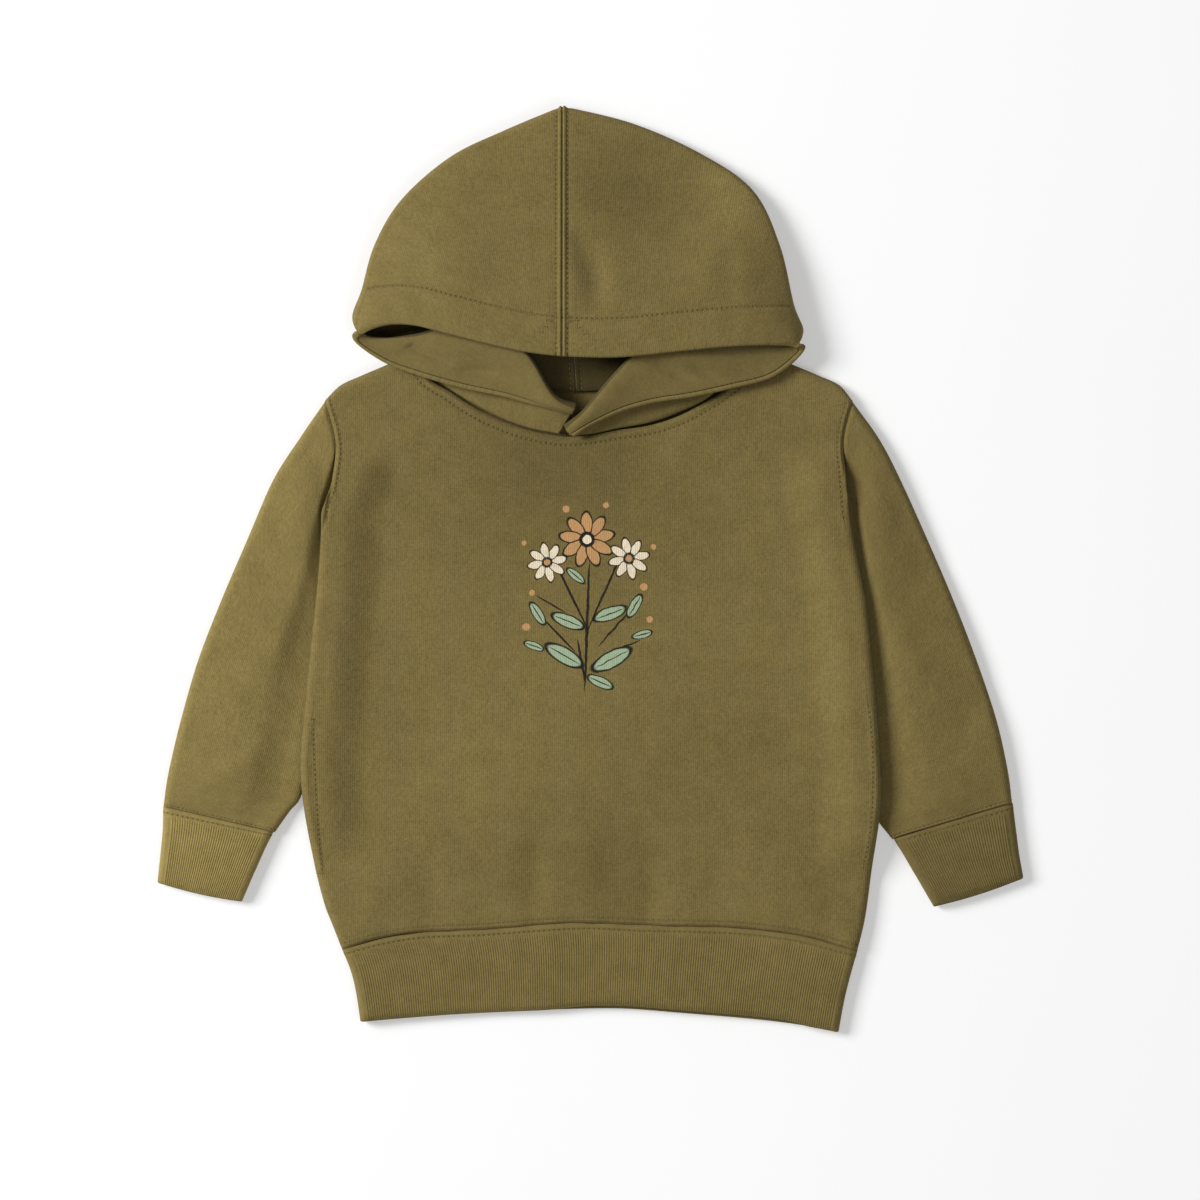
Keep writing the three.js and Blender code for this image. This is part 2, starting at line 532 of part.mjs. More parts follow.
function sleeve(rows, armhole, side, folds) {
  const stations = rows.map((row, i) => ({ ...row, at: i }));
  const column = (name) => curve(stations, 'at', name);
  const outerX = column('outer_x');
  const outerY = column('outer_y');
  const innerX = column('inner_x');
  const innerY = column('inner_y');
  const bow = line(stations, 'at', 'bow');
  const under = line(stations, 'at', 'under');
  const drop = line(stations, 'at', 'drop');
  const hidden = curve(armhole, 'y', 'x');
  const edge = side < 0 ? leftEdge : rightEdge;
  const rowAt = (v) => bodyPlan(side < 0 ? 0 : 1, v, frontTop);
  const seen = UP_SHARES.map(rowAt).filter((at) => at.y > 55).map((at) => ({ y: at.y, x: edge(at.y) }));
  const along = line(seen, 'y', 'x');
  const armX = (y) => (y > seen[0].y ? along(y) : hidden(y));
  const split = 1.5;
  const count = Math.round((rows.length - 1) * split) + 1;
  const station = (i) => (i / (count - 1)) * (rows.length - 1);
  const place = (u, i) => {
    const s = station(i);
    const x = lerp(outerX(s), innerX(s), u);
    const y = lerp(outerY(s), innerY(s), u);
    const armY = lerp(outerY(0), innerY(0), u);
    const curved = armX(armY) - lerp(outerX(0), innerX(0), u);
    return new THREE.Vector2(x + bow(s) * curved + side * 0.5 * (1 - smooth(s, 0, 1)), y);
  };
  const height = (u, i) => {
    const s = station(i);
    const flat = smooth(u, drop(s) - 0.25, drop(s)) * under(s);
    return lerp(SLEEVE_LOFT, SLEEVE_UNDER, flat);
  };
  const raise = (plan, step, i) => {
    const s = station(i);
    const clear = 1 - smooth(step.u, drop(s) - 0.3, drop(s) - 0.1) * under(s);
    return relief(folds, plan.x, plan.y) * clear * smooth(s, 0, 1);
  };
  return flatTube(sectionSteps(8, 3, 90), count, FLEECE, place, height, raise);
}

function cuff(rows) {
  const place = (u, i) => new THREE.Vector2(
    lerp(rows[i].outer_x, rows[i].inner_x, u),
    lerp(rows[i].outer_y, rows[i].inner_y, u),
  );
  const raise = (plan, step) => (step.rib ? 0 : RIB_DEPTH);
  return flatTube(sectionSteps(CUFF_RIBS * 2, 3, 55), rows.length, BAND, place, () => BAND_LOFT, raise);
}

function waistband() {
  const left = curve(BAND_EDGE, 'down', 'left');
  const right = curve(BAND_EDGE, 'down', 'right');
  const downs = [0, 0.35, 1];
  const place = (u, i) => {
    const x = lerp(left(downs[i]), right(downs[i]), u);
    const seamY = waistSeam(lerp(left(0), right(0), u)) - SEAM / 2;
    const hemY = hemLine(lerp(left(1), right(1), u));
    return new THREE.Vector2(x, lerp(seamY, hemY, downs[i]));
  };
  const raise = (plan, step) => (step.rib ? 0 : RIB_DEPTH);
  const steps = sectionSteps(WAIST_RIBS * 2, 8, 290);
  return flatTube(steps, downs.length, BAND, place, () => BAND_LOFT, raise);
}

// One sheet of a pocket bag, on the body's own points: side is -1 for the left pocket and facing is 1
// for the sheet under the front panel.
function pocketSheet(side, facing) {
  const across = side < 0 ? ACROSS_SHARES.slice(3, 10) : ACROSS_SHARES.slice(-10, -3);
  const anchor = side < 0 ? across[4] : across[2];
  const up = UP_SHARES.slice(2, 7);
  const face = [];
  const back = [];
  up.forEach((v, i) => {
    const faceRow = [];
    const backRow = [];
    const end = i === 0 || i === up.length - 1;
    across.forEach((share, j) => {
      const far = side < 0 ? j > 4 : j < 2;
      const narrowed = end && far ? lerp(share, anchor, POCKET_CORNER) : share;
      const { x, y } = bodyPlan(narrowed, v, frontTop);
      const z = lift(x, y) + BODY_LOFT / 2 + facing * 0.2;
      backRow.push(new THREE.Vector3(x, y, z));
      faceRow.push(new THREE.Vector3(x, y, z + facing * POCKETING));
    });
    face.push(faceRow);
    back.push(backRow);
  });
  return wall(face, back, false);
}

// The shell's outside along one section of the hood, from base to rim.
function hoodSection(row) {
  const base = new THREE.Vector3(row.base_x, row.base_y, row.base_z);
  const rim = new THREE.Vector3(row.rim_x, row.rim_y, row.rim_z);
  const points = [];
  const lower = 4;
  const upper = 7;
  if (row.kind === 'straight') {
    const rest = upper + 3;
    for (let k = 0; k < lower; k += 1) {
      points.push(base.clone().lerp(rim, (CORNER_SHARE * k) / (lower - 1)));
    }
    for (let k = 1; k <= rest; k += 1) {
      points.push(base.clone().lerp(rim, lerp(CORNER_SHARE, 1, k / rest)));
    }
    return points;
  }
  const rolled = row.kind === 'rolled';
  const out = new THREE.Vector3(row.turn_x - row.base_x, row.turn_y - row.base_y, 0).normalize();
  const home = new THREE.Vector3(row.turn_x - row.rim_x, row.turn_y - row.rim_y, 0).normalize();
  const radius = rolled ? HOOD_ROLL : row.turn_z / 2;
  const reach = rolled ? HOOD_ROLL : SIDE_ROUND;
  const turn = new THREE.Vector3(row.turn_x, row.turn_y, rolled ? row.turn_z : radius);
  if (rolled) {
    turn.addScaledVector(out, -HOOD_CLOTH);
  }
  const start = turn.clone().addScaledVector(out, -reach);
  start.z = turn.z - radius;
  for (let k = 0; k < lower; k += 1) {
    points.push(base.clone().lerp(start, k / (lower - 1)));
  }
  for (const angle of [-45, 0, 45]) {
    const a = THREE.MathUtils.degToRad(angle);
    const way = rolled || angle < 0 ? out : home;
    const point = turn.clone().addScaledVector(way, reach * (Math.cos(a) - 1));
    point.z = turn.z + radius * Math.sin(a);
    points.push(point);
  }
  const end = turn.clone().addScaledVector(rolled ? out : home, -reach);
  end.z = turn.z + radius;
  for (let k = 0; k < upper; k += 1) {
    const t = k / (upper - 1);
    const point = end.clone().lerp(rim, t);
    point.z = lerp(end.z, rim.z, rolled ? t : Math.sin((t * Math.PI) / 2) ** 0.9);
    if (!rolled) {
      point.z += relief(HOOD_FOLDS, point.x, point.y) * Math.sin(t * Math.PI) ** 0.7;
    }
    points.push(point);
  }
  return points;
}

// The two cloths of one hood half. side is -1 for the left half and 1 for the right.
function hoodHalf(rows, side) {
  const sections = rows.map(hoodSection);
  const split = 2;
  const grid = [];
  for (let i = 0; i < sections.length - 1; i += 1) {
    for (let k = 0; k < split; k += 1) {
      grid.push(sections[i].map((_, j) => {
        const p0 = sections[Math.max(i - 1, 0)][j];
        const p3 = sections[Math.min(i + 2, sections.length - 1)][j];
        return between(p0, sections[i][j], sections[i + 1][j], p3, k / split);
      }));
    }
  }
  grid.push(sections[sections.length - 1]);
  for (const point of grid[grid.length - 1]) {
    point.x += (side * SEAM) / 2;
  }
  for (const row of grid) {
    for (const point of row) {
      point.z = Math.max(point.z, 0);
    }
  }
  const direction = eased(normals(grid, false, new THREE.Vector3(1, 0, 0)), CORNER_EASING);
  const inward = direction[direction.length - 1][0].z > 0 ? 1 : -1;
  const shellBack = moved(grid, direction, inward * SHELL);
  const liningFace = moved(grid, direction, inward * (SHELL + SEAM));
  const liningBack = moved(grid, direction, inward * HOOD_CLOTH);
  return { shell: wall(grid, shellBack, false), lining: wall(liningFace, liningBack, false) };
}

// Point a share t of the way from b to c, on the smooth curve through all four.
function between(a, b, c, d, t) {
  const spline = (p, q, r, s) => {
    const m = (r - p) / 2;
    const n = (s - q) / 2;
    return (2 * t ** 3 - 3 * t ** 2 + 1) * q + (t ** 3 - 2 * t ** 2 + t) * m
      + (3 * t ** 2 - 2 * t ** 3) * r + (t ** 3 - t ** 2) * n;
  };
  return new THREE.Vector3(
    spline(a.x, b.x, c.x, d.x),
    spline(a.y, b.y, c.y, d.y),
    spline(a.z, b.z, c.z, d.z),
  );
}

const hoodie = new THREE.Group();

function add(name, geometry, colour, roughness) {
  const material = new THREE.MeshStandardMaterial({ color: colour, roughness, metalness: 0 });
  const mesh = new THREE.Mesh(geometry, material);
  mesh.name = name;
  hoodie.add(mesh);
}

const BODY_COLOUR = 0x756740;
const RIB_COLOUR = 0x796d45;
const LINING_COLOUR = 0x6c603a;

add('body_front', bodyPanel(1, frontTop), BODY_COLOUR, 0.95);
add('body_back', bodyPanel(-1, backTop), BODY_COLOUR, 0.95);
add('waistband', waistband(), RIB_COLOUR, 0.95);
add('sleeve_left', sleeve(SLEEVE_LEFT, ARMHOLE_LEFT, -1, SLEEVE_FOLDS_LEFT), BODY_COLOUR, 0.95);
add('sleeve_right', sleeve(SLEEVE_RIGHT, ARMHOLE_RIGHT, 1, SLEEVE_FOLDS_RIGHT), BODY_COLOUR, 0.95);
add('cuff_left', cuff(CUFF_LEFT), RIB_COLOUR, 0.95);
add('cuff_right', cuff(CUFF_RIGHT), RIB_COLOUR, 0.95);
for (const [name, side] of [['pocket_left', -1], ['pocket_right', 1]]) {
  add(`${name}_front`, pocketSheet(side, 1), LINING_COLOUR, 0.95);
  add(`${name}_back`, pocketSheet(side, -1), LINING_COLOUR, 0.95);
}
for (const [side, rows, sign] of [['left', HOOD_LEFT, -1], ['right', HOOD_RIGHT, 1]]) {
  const half = hoodHalf(rows, sign);
  add(`hood_${side}`, half.shell, BODY_COLOUR, 0.95);
  add(`hood_lining_${side}`, half.lining, LINING_COLOUR, 0.95);
}

export default hoodie;
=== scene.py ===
"""Toddler hoodie, laid out flat on its back on a pale table, seen from straight above.

Sizes are in millimetres and are turned to metres where a mesh is made. X runs to the right and Y
toward the hood, as seen from above. Left and right are as seen from above, at the front of the garment.
"""
import logging
import math
from dataclasses import dataclass
from enum import Enum
from typing import Callable, Sequence

import bmesh
import bpy
import numpy as np
from mathutils import Matrix, Vector
from mathutils.bvhtree import BVHTree


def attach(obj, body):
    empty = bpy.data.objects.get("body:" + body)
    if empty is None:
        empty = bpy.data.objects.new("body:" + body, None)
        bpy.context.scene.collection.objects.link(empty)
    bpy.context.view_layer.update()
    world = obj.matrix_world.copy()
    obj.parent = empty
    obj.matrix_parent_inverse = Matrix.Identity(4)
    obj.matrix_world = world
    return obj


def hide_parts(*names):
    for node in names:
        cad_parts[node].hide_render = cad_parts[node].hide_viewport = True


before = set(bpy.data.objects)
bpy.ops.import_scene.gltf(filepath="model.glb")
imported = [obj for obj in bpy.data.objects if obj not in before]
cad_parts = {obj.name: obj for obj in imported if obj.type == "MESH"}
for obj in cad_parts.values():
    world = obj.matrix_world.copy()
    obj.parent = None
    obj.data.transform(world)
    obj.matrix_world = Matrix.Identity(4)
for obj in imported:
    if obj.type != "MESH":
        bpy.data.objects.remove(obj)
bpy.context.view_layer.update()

LOG = logging.getLogger("hoodie")
MM = 0.001
ROOT = "root"

Array = np.ndarray
Marks = dict[str, Array]
Path = Sequence[tuple[float, float]]
Colour = tuple[float, float, float, float]

# Cloth and heights, as in the solids
FLEECE, BAND, SHELL, LINING, POCKETING, SEAM = 2.0, 2.4, 1.6, 1.0, 0.9, 0.3
JOINED = 0.05
BODY_LOFT, BAND_LOFT, SLEEVE_LOFT, SLEEVE_UNDER = 7.5, 7.4, 7.4, 4.7
SIDE_LIFT, SIDE_ROUND = 5.4, 5.0
HOOD_ROLL = 1.4
HOOD_CLOTH = SHELL + SEAM + LINING
CORNER_SHARE, CORNER_EASING = 0.72, 500
NECK_LEFT, NECK_RIGHT = -103.0, 95.5

# Sewing
STITCH_PITCH, STITCH_LENGTH, STITCH_WIDTH = 2.9, 2.1, 0.5
NECK_ROW, SEAM_ROW, HEM_ROW, CENTRE_ROW = 5.0, 3.2, 21.0, 3.4
FAR = 30.0


# ---- Small maths


def clamp01(value: Array) -> Array:
    """Value held between 0 and 1."""
    return np.clip(value, 0.0, 1.0)


def smooth(value: Array, low: float, high: float) -> Array:
    """Smooth step from 0 at low to 1 at high."""
    t = clamp01((value - low) / (high - low))
    return t * t * (3.0 - 2.0 * t)


def turned(distance: Array, reach: float) -> Array:
    """Share of full height at a distance in from an edge that turns over."""
    return np.sqrt(1.0 - (1.0 - clamp01(distance / reach)) ** 2)


def hump(value: Array, centre: float, width: float) -> Array:
    """Soft hump of height 1 at centre."""
    return np.exp(-(((value - centre) / width) ** 2))


class Line:
    """A smooth or straight line through a table of (at, value) rows."""

    def __init__(self, rows: Path, straight: bool = False) -> None:
        """Keeps the rows and works out the slope at each."""
        table = np.array(rows, dtype=float)
        self.x, self.y = table[:, 0], table[:, 1]
        ahead = np.minimum(np.arange(len(self.x)) + 1, len(self.x) - 1)
        behind = np.maximum(np.arange(len(self.x)) - 1, 0)
        self.slope = (self.y[ahead] - self.y[behind]) / (self.x[ahead] - self.x[behind])
        self.straight = straight

    def __call__(self, at: Array | float) -> Array:
        """Value at each given place."""
        if self.straight:
            return np.interp(at, self.x, self.y)
        p = np.clip(at, self.x[0], self.x[-1])
        i = np.clip(np.searchsorted(self.x, p, side="right") - 1, 0, len(self.x) - 2)
        h = self.x[i + 1] - self.x[i]
        t = (p - self.x[i]) / h
        t2, t3 = t * t, t * t * t
        return ((2 * t3 - 3 * t2 + 1) * self.y[i] + (t3 - 2 * t2 + t) * h * self.slope[i]
                + (3 * t2 - 2 * t3) * self.y[i + 1] + (t3 - t2) * h * self.slope[i + 1])


@dataclass(frozen=True)
class Crease:
    """A soft ridge (rise above 0) or trough (below 0) along a line, fading at both ends."""

    x0: float
    y0: float
    x1: float
    y1: float
    width: float
    rise: float

    def height(self, x: Array, y: Array) -> Array:
        """Height that the crease adds at each point."""
        dx, dy = self.x1 - self.x0, self.y1 - self.y0
        along = ((x - self.x0) * dx + (y - self.y0) * dy) / (dx * dx + dy * dy)
        t = clamp01(along)
        away = np.hypot(x - self.x0 - t * dx, y - self.y0 - t * dy)
        ends = 0.35 + 0.65 * np.sin(np.pi * clamp01(along * 0.9 + 0.05))
        return self.rise * ends * np.exp(-((away / self.width) ** 2))


def relief(creases: Sequence[Crease], x: Array, y: Array) -> Array:
    """Height that all the creases add at each point."""
    total = np.zeros_like(x)
    for crease in creases:
        total = total + crease.height(x, y)
    return total


def ripple(x: Array, y: Array, scale: float, seed: float) -> Array:
    """Slow uneven swell of about plus or minus 1, the same on every run."""
    a = np.sin(x / scale + seed + 1.7 * np.sin(y / (1.9 * scale) + 2.1 * seed))
    b = np.sin(y / (1.3 * scale) - 0.7 * seed + 1.3 * np.sin(x / (2.3 * scale) + seed))
    c = np.sin((x + y) / (1.7 * scale) + 3.1 * seed)
    return (a + b + 0.6 * c) / 2.2


def smooth_path(points: Path, step: float = 1.5) -> Array:
    """A smooth path through a few points, with a point about each step."""
    pts = np.array(points, dtype=float)
    far = np.concatenate([[0.0], np.cumsum(np.hypot(*np.diff(pts, axis=0).T))])
    at = np.linspace(0.0, far[-1], max(int(far[-1] / step), 2) + 1)
    return np.stack([Line(list(zip(far, pts[:, k])))(at) for k in range(2)], axis=1)


def beside(path: Array, offset: float) -> Array:
    """The path moved to its left by an offset."""
    way = np.gradient(path, axis=0)
    way /= np.maximum(np.linalg.norm(way, axis=1, keepdims=True), 1e-9)
    return path + offset * np.stack([-way[:, 1], way[:, 0]], axis=1)


def from_path(x: Array, y: Array, path: Array) -> tuple[Array, Array]:
    """Distance to a path, above 0 on its left, and how far along it the nearest point is.

    Args:
        x: where each point is, across.
        y: where each point is, up.
        path: (n, 2) points of the path.

    Returns:
        The distance and the run along the path, at each point.
    """
    best = np.full(np.shape(x), 1e9)
    run = np.zeros_like(best)
    done = 0.0
    for (ax, ay), (bx, by) in zip(path[:-1], path[1:]):
        dx, dy = bx - ax, by - ay
        size = math.hypot(dx, dy)
        t = clamp01(((x - ax) * dx + (y - ay) * dy) / max(size * size, 1e-9))
        away = np.hypot(x - ax - t * dx, y - ay - t * dy)
        nearer = away < np.abs(best)
        side = np.where(dx * (y - ay) - dy * (x - ax) >= 0, 1.0, -1.0)
        best = np.where(nearer, away * side, best)
        run = np.where(nearer, done + t * size, run)
        done += size
    return best, run


def nearest(rows: Sequence[tuple[Array, Array]], shape: tuple) -> Marks:
    """The marks that a finish reads.

    Args:
        rows: for each row of stitches the distance to it and the run along it.
        shape: the shape of the marks.

    Returns:
        The distance to the nearest row, and the run along that row.
    """
    sewn = np.full(shape, FAR)
    run = np.zeros(shape)
    for distance, along in rows:
        closer = np.abs(distance) < np.abs(sewn)
        sewn = np.where(closer, distance, sewn)
        run = np.where(closer, along, run)
    return {"sewn": sewn, "run": run}


def welt(distance: Array) -> Array:
    """Height of a turned seam allowance at a distance from the seam: rolled in, then proud."""
    return (-1.3 * np.exp(-((distance / 1.1) ** 2)) + 0.45 * hump(distance, 2.0, 1.1)
            - 0.3 * hump(distance, SEAM_ROW, 0.8))


# ---- Meshes of cloth


class Cloth:
    """One piece of cloth, as a grid of points that closes into a wall."""

    def __init__(self, name: str, points: Array, flat: Array, marks: Marks) -> None:
        """Keeps the outer face.

        Args:
            name: the piece's name.
            points: (rows, columns, 3) points in mm.
            flat: (rows, columns, 2) places on the flat cloth in mm.
            marks: values to keep on the points, each (rows, columns).
        """
        self.name, self.points, self.flat, self.marks = name, points, flat, marks

    def sheet(self) -> bpy.types.Object:
        """Makes the points into a mesh, joined where its edges meet."""
        rows, columns = self.points.shape[:2]
        bm = bmesh.new()
        bmesh.ops.create_grid(bm, x_segments=columns - 1, y_segments=rows - 1, size=0.5)
        uv = bm.loops.layers.uv.new("cloth")
        layers = {key: bm.verts.layers.float.new(key) for key in self.marks}
        bm.verts.index_update()
        at = np.array([v.co[:2] for v in bm.verts]) + 0.5
        j = np.rint(at[:, 0] * (columns - 1)).astype(int)
        i = np.rint(at[:, 1] * (rows - 1)).astype(int)
        points = self.points[i, j] * MM
        flat = self.flat[i, j] * MM
        for vert, point in zip(bm.verts, points):
            vert.co = point
        for key, layer in layers.items():
            for vert, value in zip(bm.verts, self.marks[key][i, j]):
                vert[layer] = float(value)
        for face in bm.faces:
            face.smooth = True
            for loop in face.loops:
                loop[uv].uv = flat[loop.vert.index]
        bmesh.ops.remove_doubles(bm, verts=bm.verts, dist=1e-7)
        mesh = bpy.data.meshes.new(self.name)
        bm.to_mesh(mesh)
        bm.free()
        made = bpy.data.objects.new(self.name, mesh)
        bpy.context.collection.objects.link(made)
        return made

    def closed(self, back: Array, tube: bool = False) -> bpy.types.Object:
        """Makes the cloth from its outer and inner faces, closed and rounded at its edges.

        Args:
            back: (rows, columns, 3) points of the inner face, in mm.
            tube: whether each row goes all round a tube and ends where it starts.

        Returns:
            The object, facing outwards.
        """
        face, flat, marks = self.points, self.flat, self.marks
        if tube:
            face, back, flat = (a.transpose(1, 0, 2) for a in (face, back, flat))
            marks = {key: value.T for key, value in marks.items()}
        middle = (face + back) / 2
        begin, finish = middle[:, :1] - middle[:, 1:2], middle[:, -1:] - middle[:, -2:-1]
        begin /= np.maximum(np.linalg.norm(begin, axis=2, keepdims=True), 1e-9)
        finish /= np.maximum(np.linalg.norm(finish, axis=2, keepdims=True), 1e-9)
        first, last = middle[:, :1] + 0.3 * begin, middle[:, -1:] + 0.3 * finish

        def joined(over: Array, under: Array, low: Array, high: Array) -> Array:
            """One ring a row: over, round the far edge, under and back."""
            return np.concatenate([low, over, high, under[:, ::-1], low], axis=1)

        ring = joined(face, back, first, last)
        wide = joined(flat, flat, flat[:, :1], flat[:, -1:])
        kept = {key: joined(v, v, v[:, :1], v[:, -1:]) for key, v in marks.items()}
        if not tube:
            core = joined(middle, middle, first, last)
            ring = np.concatenate([core[:1], ring, core[-1:]])
            wide = np.concatenate([wide[:1], wide, wide[-1:]])
            kept = {key: np.concatenate([v[:1], v, v[-1:]]) for key, v in kept.items()}
        made = Cloth(self.name, ring, wide, kept).sheet()
        bm = bmesh.new()
        bm.from_mesh(made.data)
        if bm.calc_volume(signed=True) < 0:
            bmesh.ops.reverse_faces(bm, faces=bm.faces)
        bm.to_mesh(made.data)
        bm.free()
        return made


def declare(made: bpy.types.Object, node: str,
            trim: Sequence[bpy.types.Object] = ()) -> None:
    """Ties a piece of cloth to the frame.

    Args:
        made: the piece.
        node: the solid that it stands for.
        trim: the separate pieces sewn to it.
    """
    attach(made, ROOT)
    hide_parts(node)
    for piece in trim:
        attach(piece, ROOT)


def shares(edge: Sequence[float], count: int) -> Array:
    """Shares from 0 to 1 with the given ones near both ends and count even steps between."""
    low = list(edge)
    return np.array(low + list(np.linspace(low[-1], 1 - low[-1], count + 1))[1:-1]
                    + [1 - e for e in reversed(low)])


@dataclass
class StitchRow:
    """A row of lockstitches along a path on the cloth."""

    name: str
    pitch: float = STITCH_PITCH
    length: float = STITCH_LENGTH
    width: float = STITCH_WIDTH
    height: float = 0.42

    def build(self, runs: Sequence[tuple[Array, Array]]) -> bpy.types.Object:
        """Makes every stitch of the rows as one piece.

        Args:
            runs: for each row its (n, 3) points in mm and the cloth's outward direction at each.

        Returns:
            The object.
        """
        places, turns = [], []
        for points, outward in runs:
            far = np.concatenate([[0.0], np.cumsum(np.linalg.norm(np.diff(points, axis=0), axis=1))])
            middles = (np.arange(int(far[-1] / self.pitch)) + 0.5) * self.pitch
            place = np.stack([np.interp(middles, far, points[:, k]) for k in range(3)], axis=1)
            ahead = np.stack([np.interp(middles + 0.6, far, points[:, k]) for k in range(3)], axis=1)
            up = np.stack([np.interp(middles, far, outward[:, k]) for k in range(3)], axis=1)
            way = ahead - place
            way /= np.maximum(np.linalg.norm(way, axis=1, keepdims=True), 1e-9)
            side = np.cross(up, way)
            side /= np.maximum(np.linalg.norm(side, axis=1, keepdims=True), 1e-9)
            places.append(place)
            turns.append(np.stack([way * self.length / 2, side * self.width / 2,
                                   np.cross(way, side) * self.height / 2], axis=1))
        place, turn = np.concatenate(places), np.concatenate(turns)
        bm = bmesh.new()
        bmesh.ops.create_uvsphere(bm, u_segments=4, v_segments=4, radius=1.0,
                                  matrix=Matrix.Rotation(math.pi / 2, 4, "Y"))
        own = bm.verts.layers.int.new("stitch")
        count = 1
        while count < len(place):
            doubled = bmesh.ops.duplicate(bm, geom=bm.verts[:] + bm.edges[:] + bm.faces[:])
            for vert in doubled["geom"]:
                if isinstance(vert, bmesh.types.BMVert):
                    vert[own] += count
            count *= 2
        spare = [vert for vert in bm.verts if vert[own] >= len(place)]
        bmesh.ops.delete(bm, geom=spare, context="VERTS")
        for vert in bm.verts:
            vert.co = (place[vert[own]] + np.array(vert.co) @ turn[vert[own]]) * MM
        bmesh.ops.recalc_face_normals(bm, faces=bm.faces)
        for face in bm.faces:
            face.smooth = True
        mesh = bpy.data.meshes.new(self.name)
        bm.to_mesh(mesh)
        bm.free()
        made = bpy.data.objects.new(self.name, mesh)
        bpy.context.collection.objects.link(made)
        return made


class Table:
    """The upper side of a piece, onto which plan paths are dropped."""

    def __init__(self, cloth: bpy.types.Object) -> None:
        """Sorts the piece's faces."""
        mesh = cloth.data
        self.tree = BVHTree.FromPolygons([v.co.copy() for v in mesh.vertices],
                                         [tuple(p.vertices) for p in mesh.polygons])

    def under(self, path: Array) -> tuple[Array, Array]:
        """Points in mm on the piece under a plan path, and the outward direction at each."""
        points, outward = [], []
        for x, y in path:
            spot, normal, _, _ = self.tree.ray_cast(Vector((x * MM, y * MM, 0.2)), Vector((0, 0, -1)))
            if spot is not None:
                points.append(np.array(spot) / MM)
                outward.append(np.array(normal) * (1.0 if normal.z > 0 else -1.0))
        return np.array(points), np.array(outward)


# ---- Shader building


class S:
    """A socket that takes part in maths, adding its Math nodes as it goes."""

    def __init__(self, book: "Shader", socket: bpy.types.NodeSocket) -> None:
        """Keeps the socket and the material that it belongs to."""
        self.book, self.socket = book, socket

    def _two(self, operation: str, a: "S | float", b: "S | float") -> "S":
        """One Math node on two values."""
        return self.book.node("ShaderNodeMath", {"operation": operation}, [a, b])

    def __add__(self, other: "S | float") -> "S":
        """Sum."""
        return self._two("ADD", self, other)

    __radd__ = __add__

    def __sub__(self, other: "S | float") -> "S":
        """Difference."""
        return self._two("SUBTRACT", self, other)

    def __rsub__(self, other: float) -> "S":
        """Difference from a number."""
        return self._two("SUBTRACT", other, self)

    def __mul__(self, other: "S | float") -> "S":
        """Product."""
        return self._two("MULTIPLY", self, other)

    __rmul__ = __mul__

    def __truediv__(self, other: "S | float") -> "S":
        """Quotient."""
        return self._two("DIVIDE", self, other)

    def __rtruediv__(self, other: float) -> "S":
        """Quotient of a number by this."""
        return self._two("DIVIDE", other, self)

    def __pow__(self, other: float) -> "S":
        """Power."""
        return self._two("POWER", self, other)

    def low(self, other: "S | float") -> "S":
        """Smaller of the two."""
        return self._two("MINIMUM", self, other)

    def high(self, other: "S | float") -> "S":
        """Larger of the two."""
        return self._two("MAXIMUM", self, other)

    def one(self, operation: str) -> "S":
        """One Math node on this value alone."""
        return self.book.node("ShaderNodeMath", {"operation": operation}, [self])

    def bell(self, width: float) -> "S":
        """Bell of height 1 where the value is 0."""
        scaled = self / width
        return (scaled * scaled * -1.0).one("EXPONENT")

    def step(self, low: float, high: float) -> "S":
        """Smooth step from 0 at low to 1 at high, or the other way round where low is the larger."""
        ends = (0.0, 1.0) if low < high else (1.0, 0.0)
        return self.book.node("ShaderNodeMapRange", {"interpolation_type": "SMOOTHSTEP", "clamp": True},
                              [self, min(low, high), max(low, high), *ends])


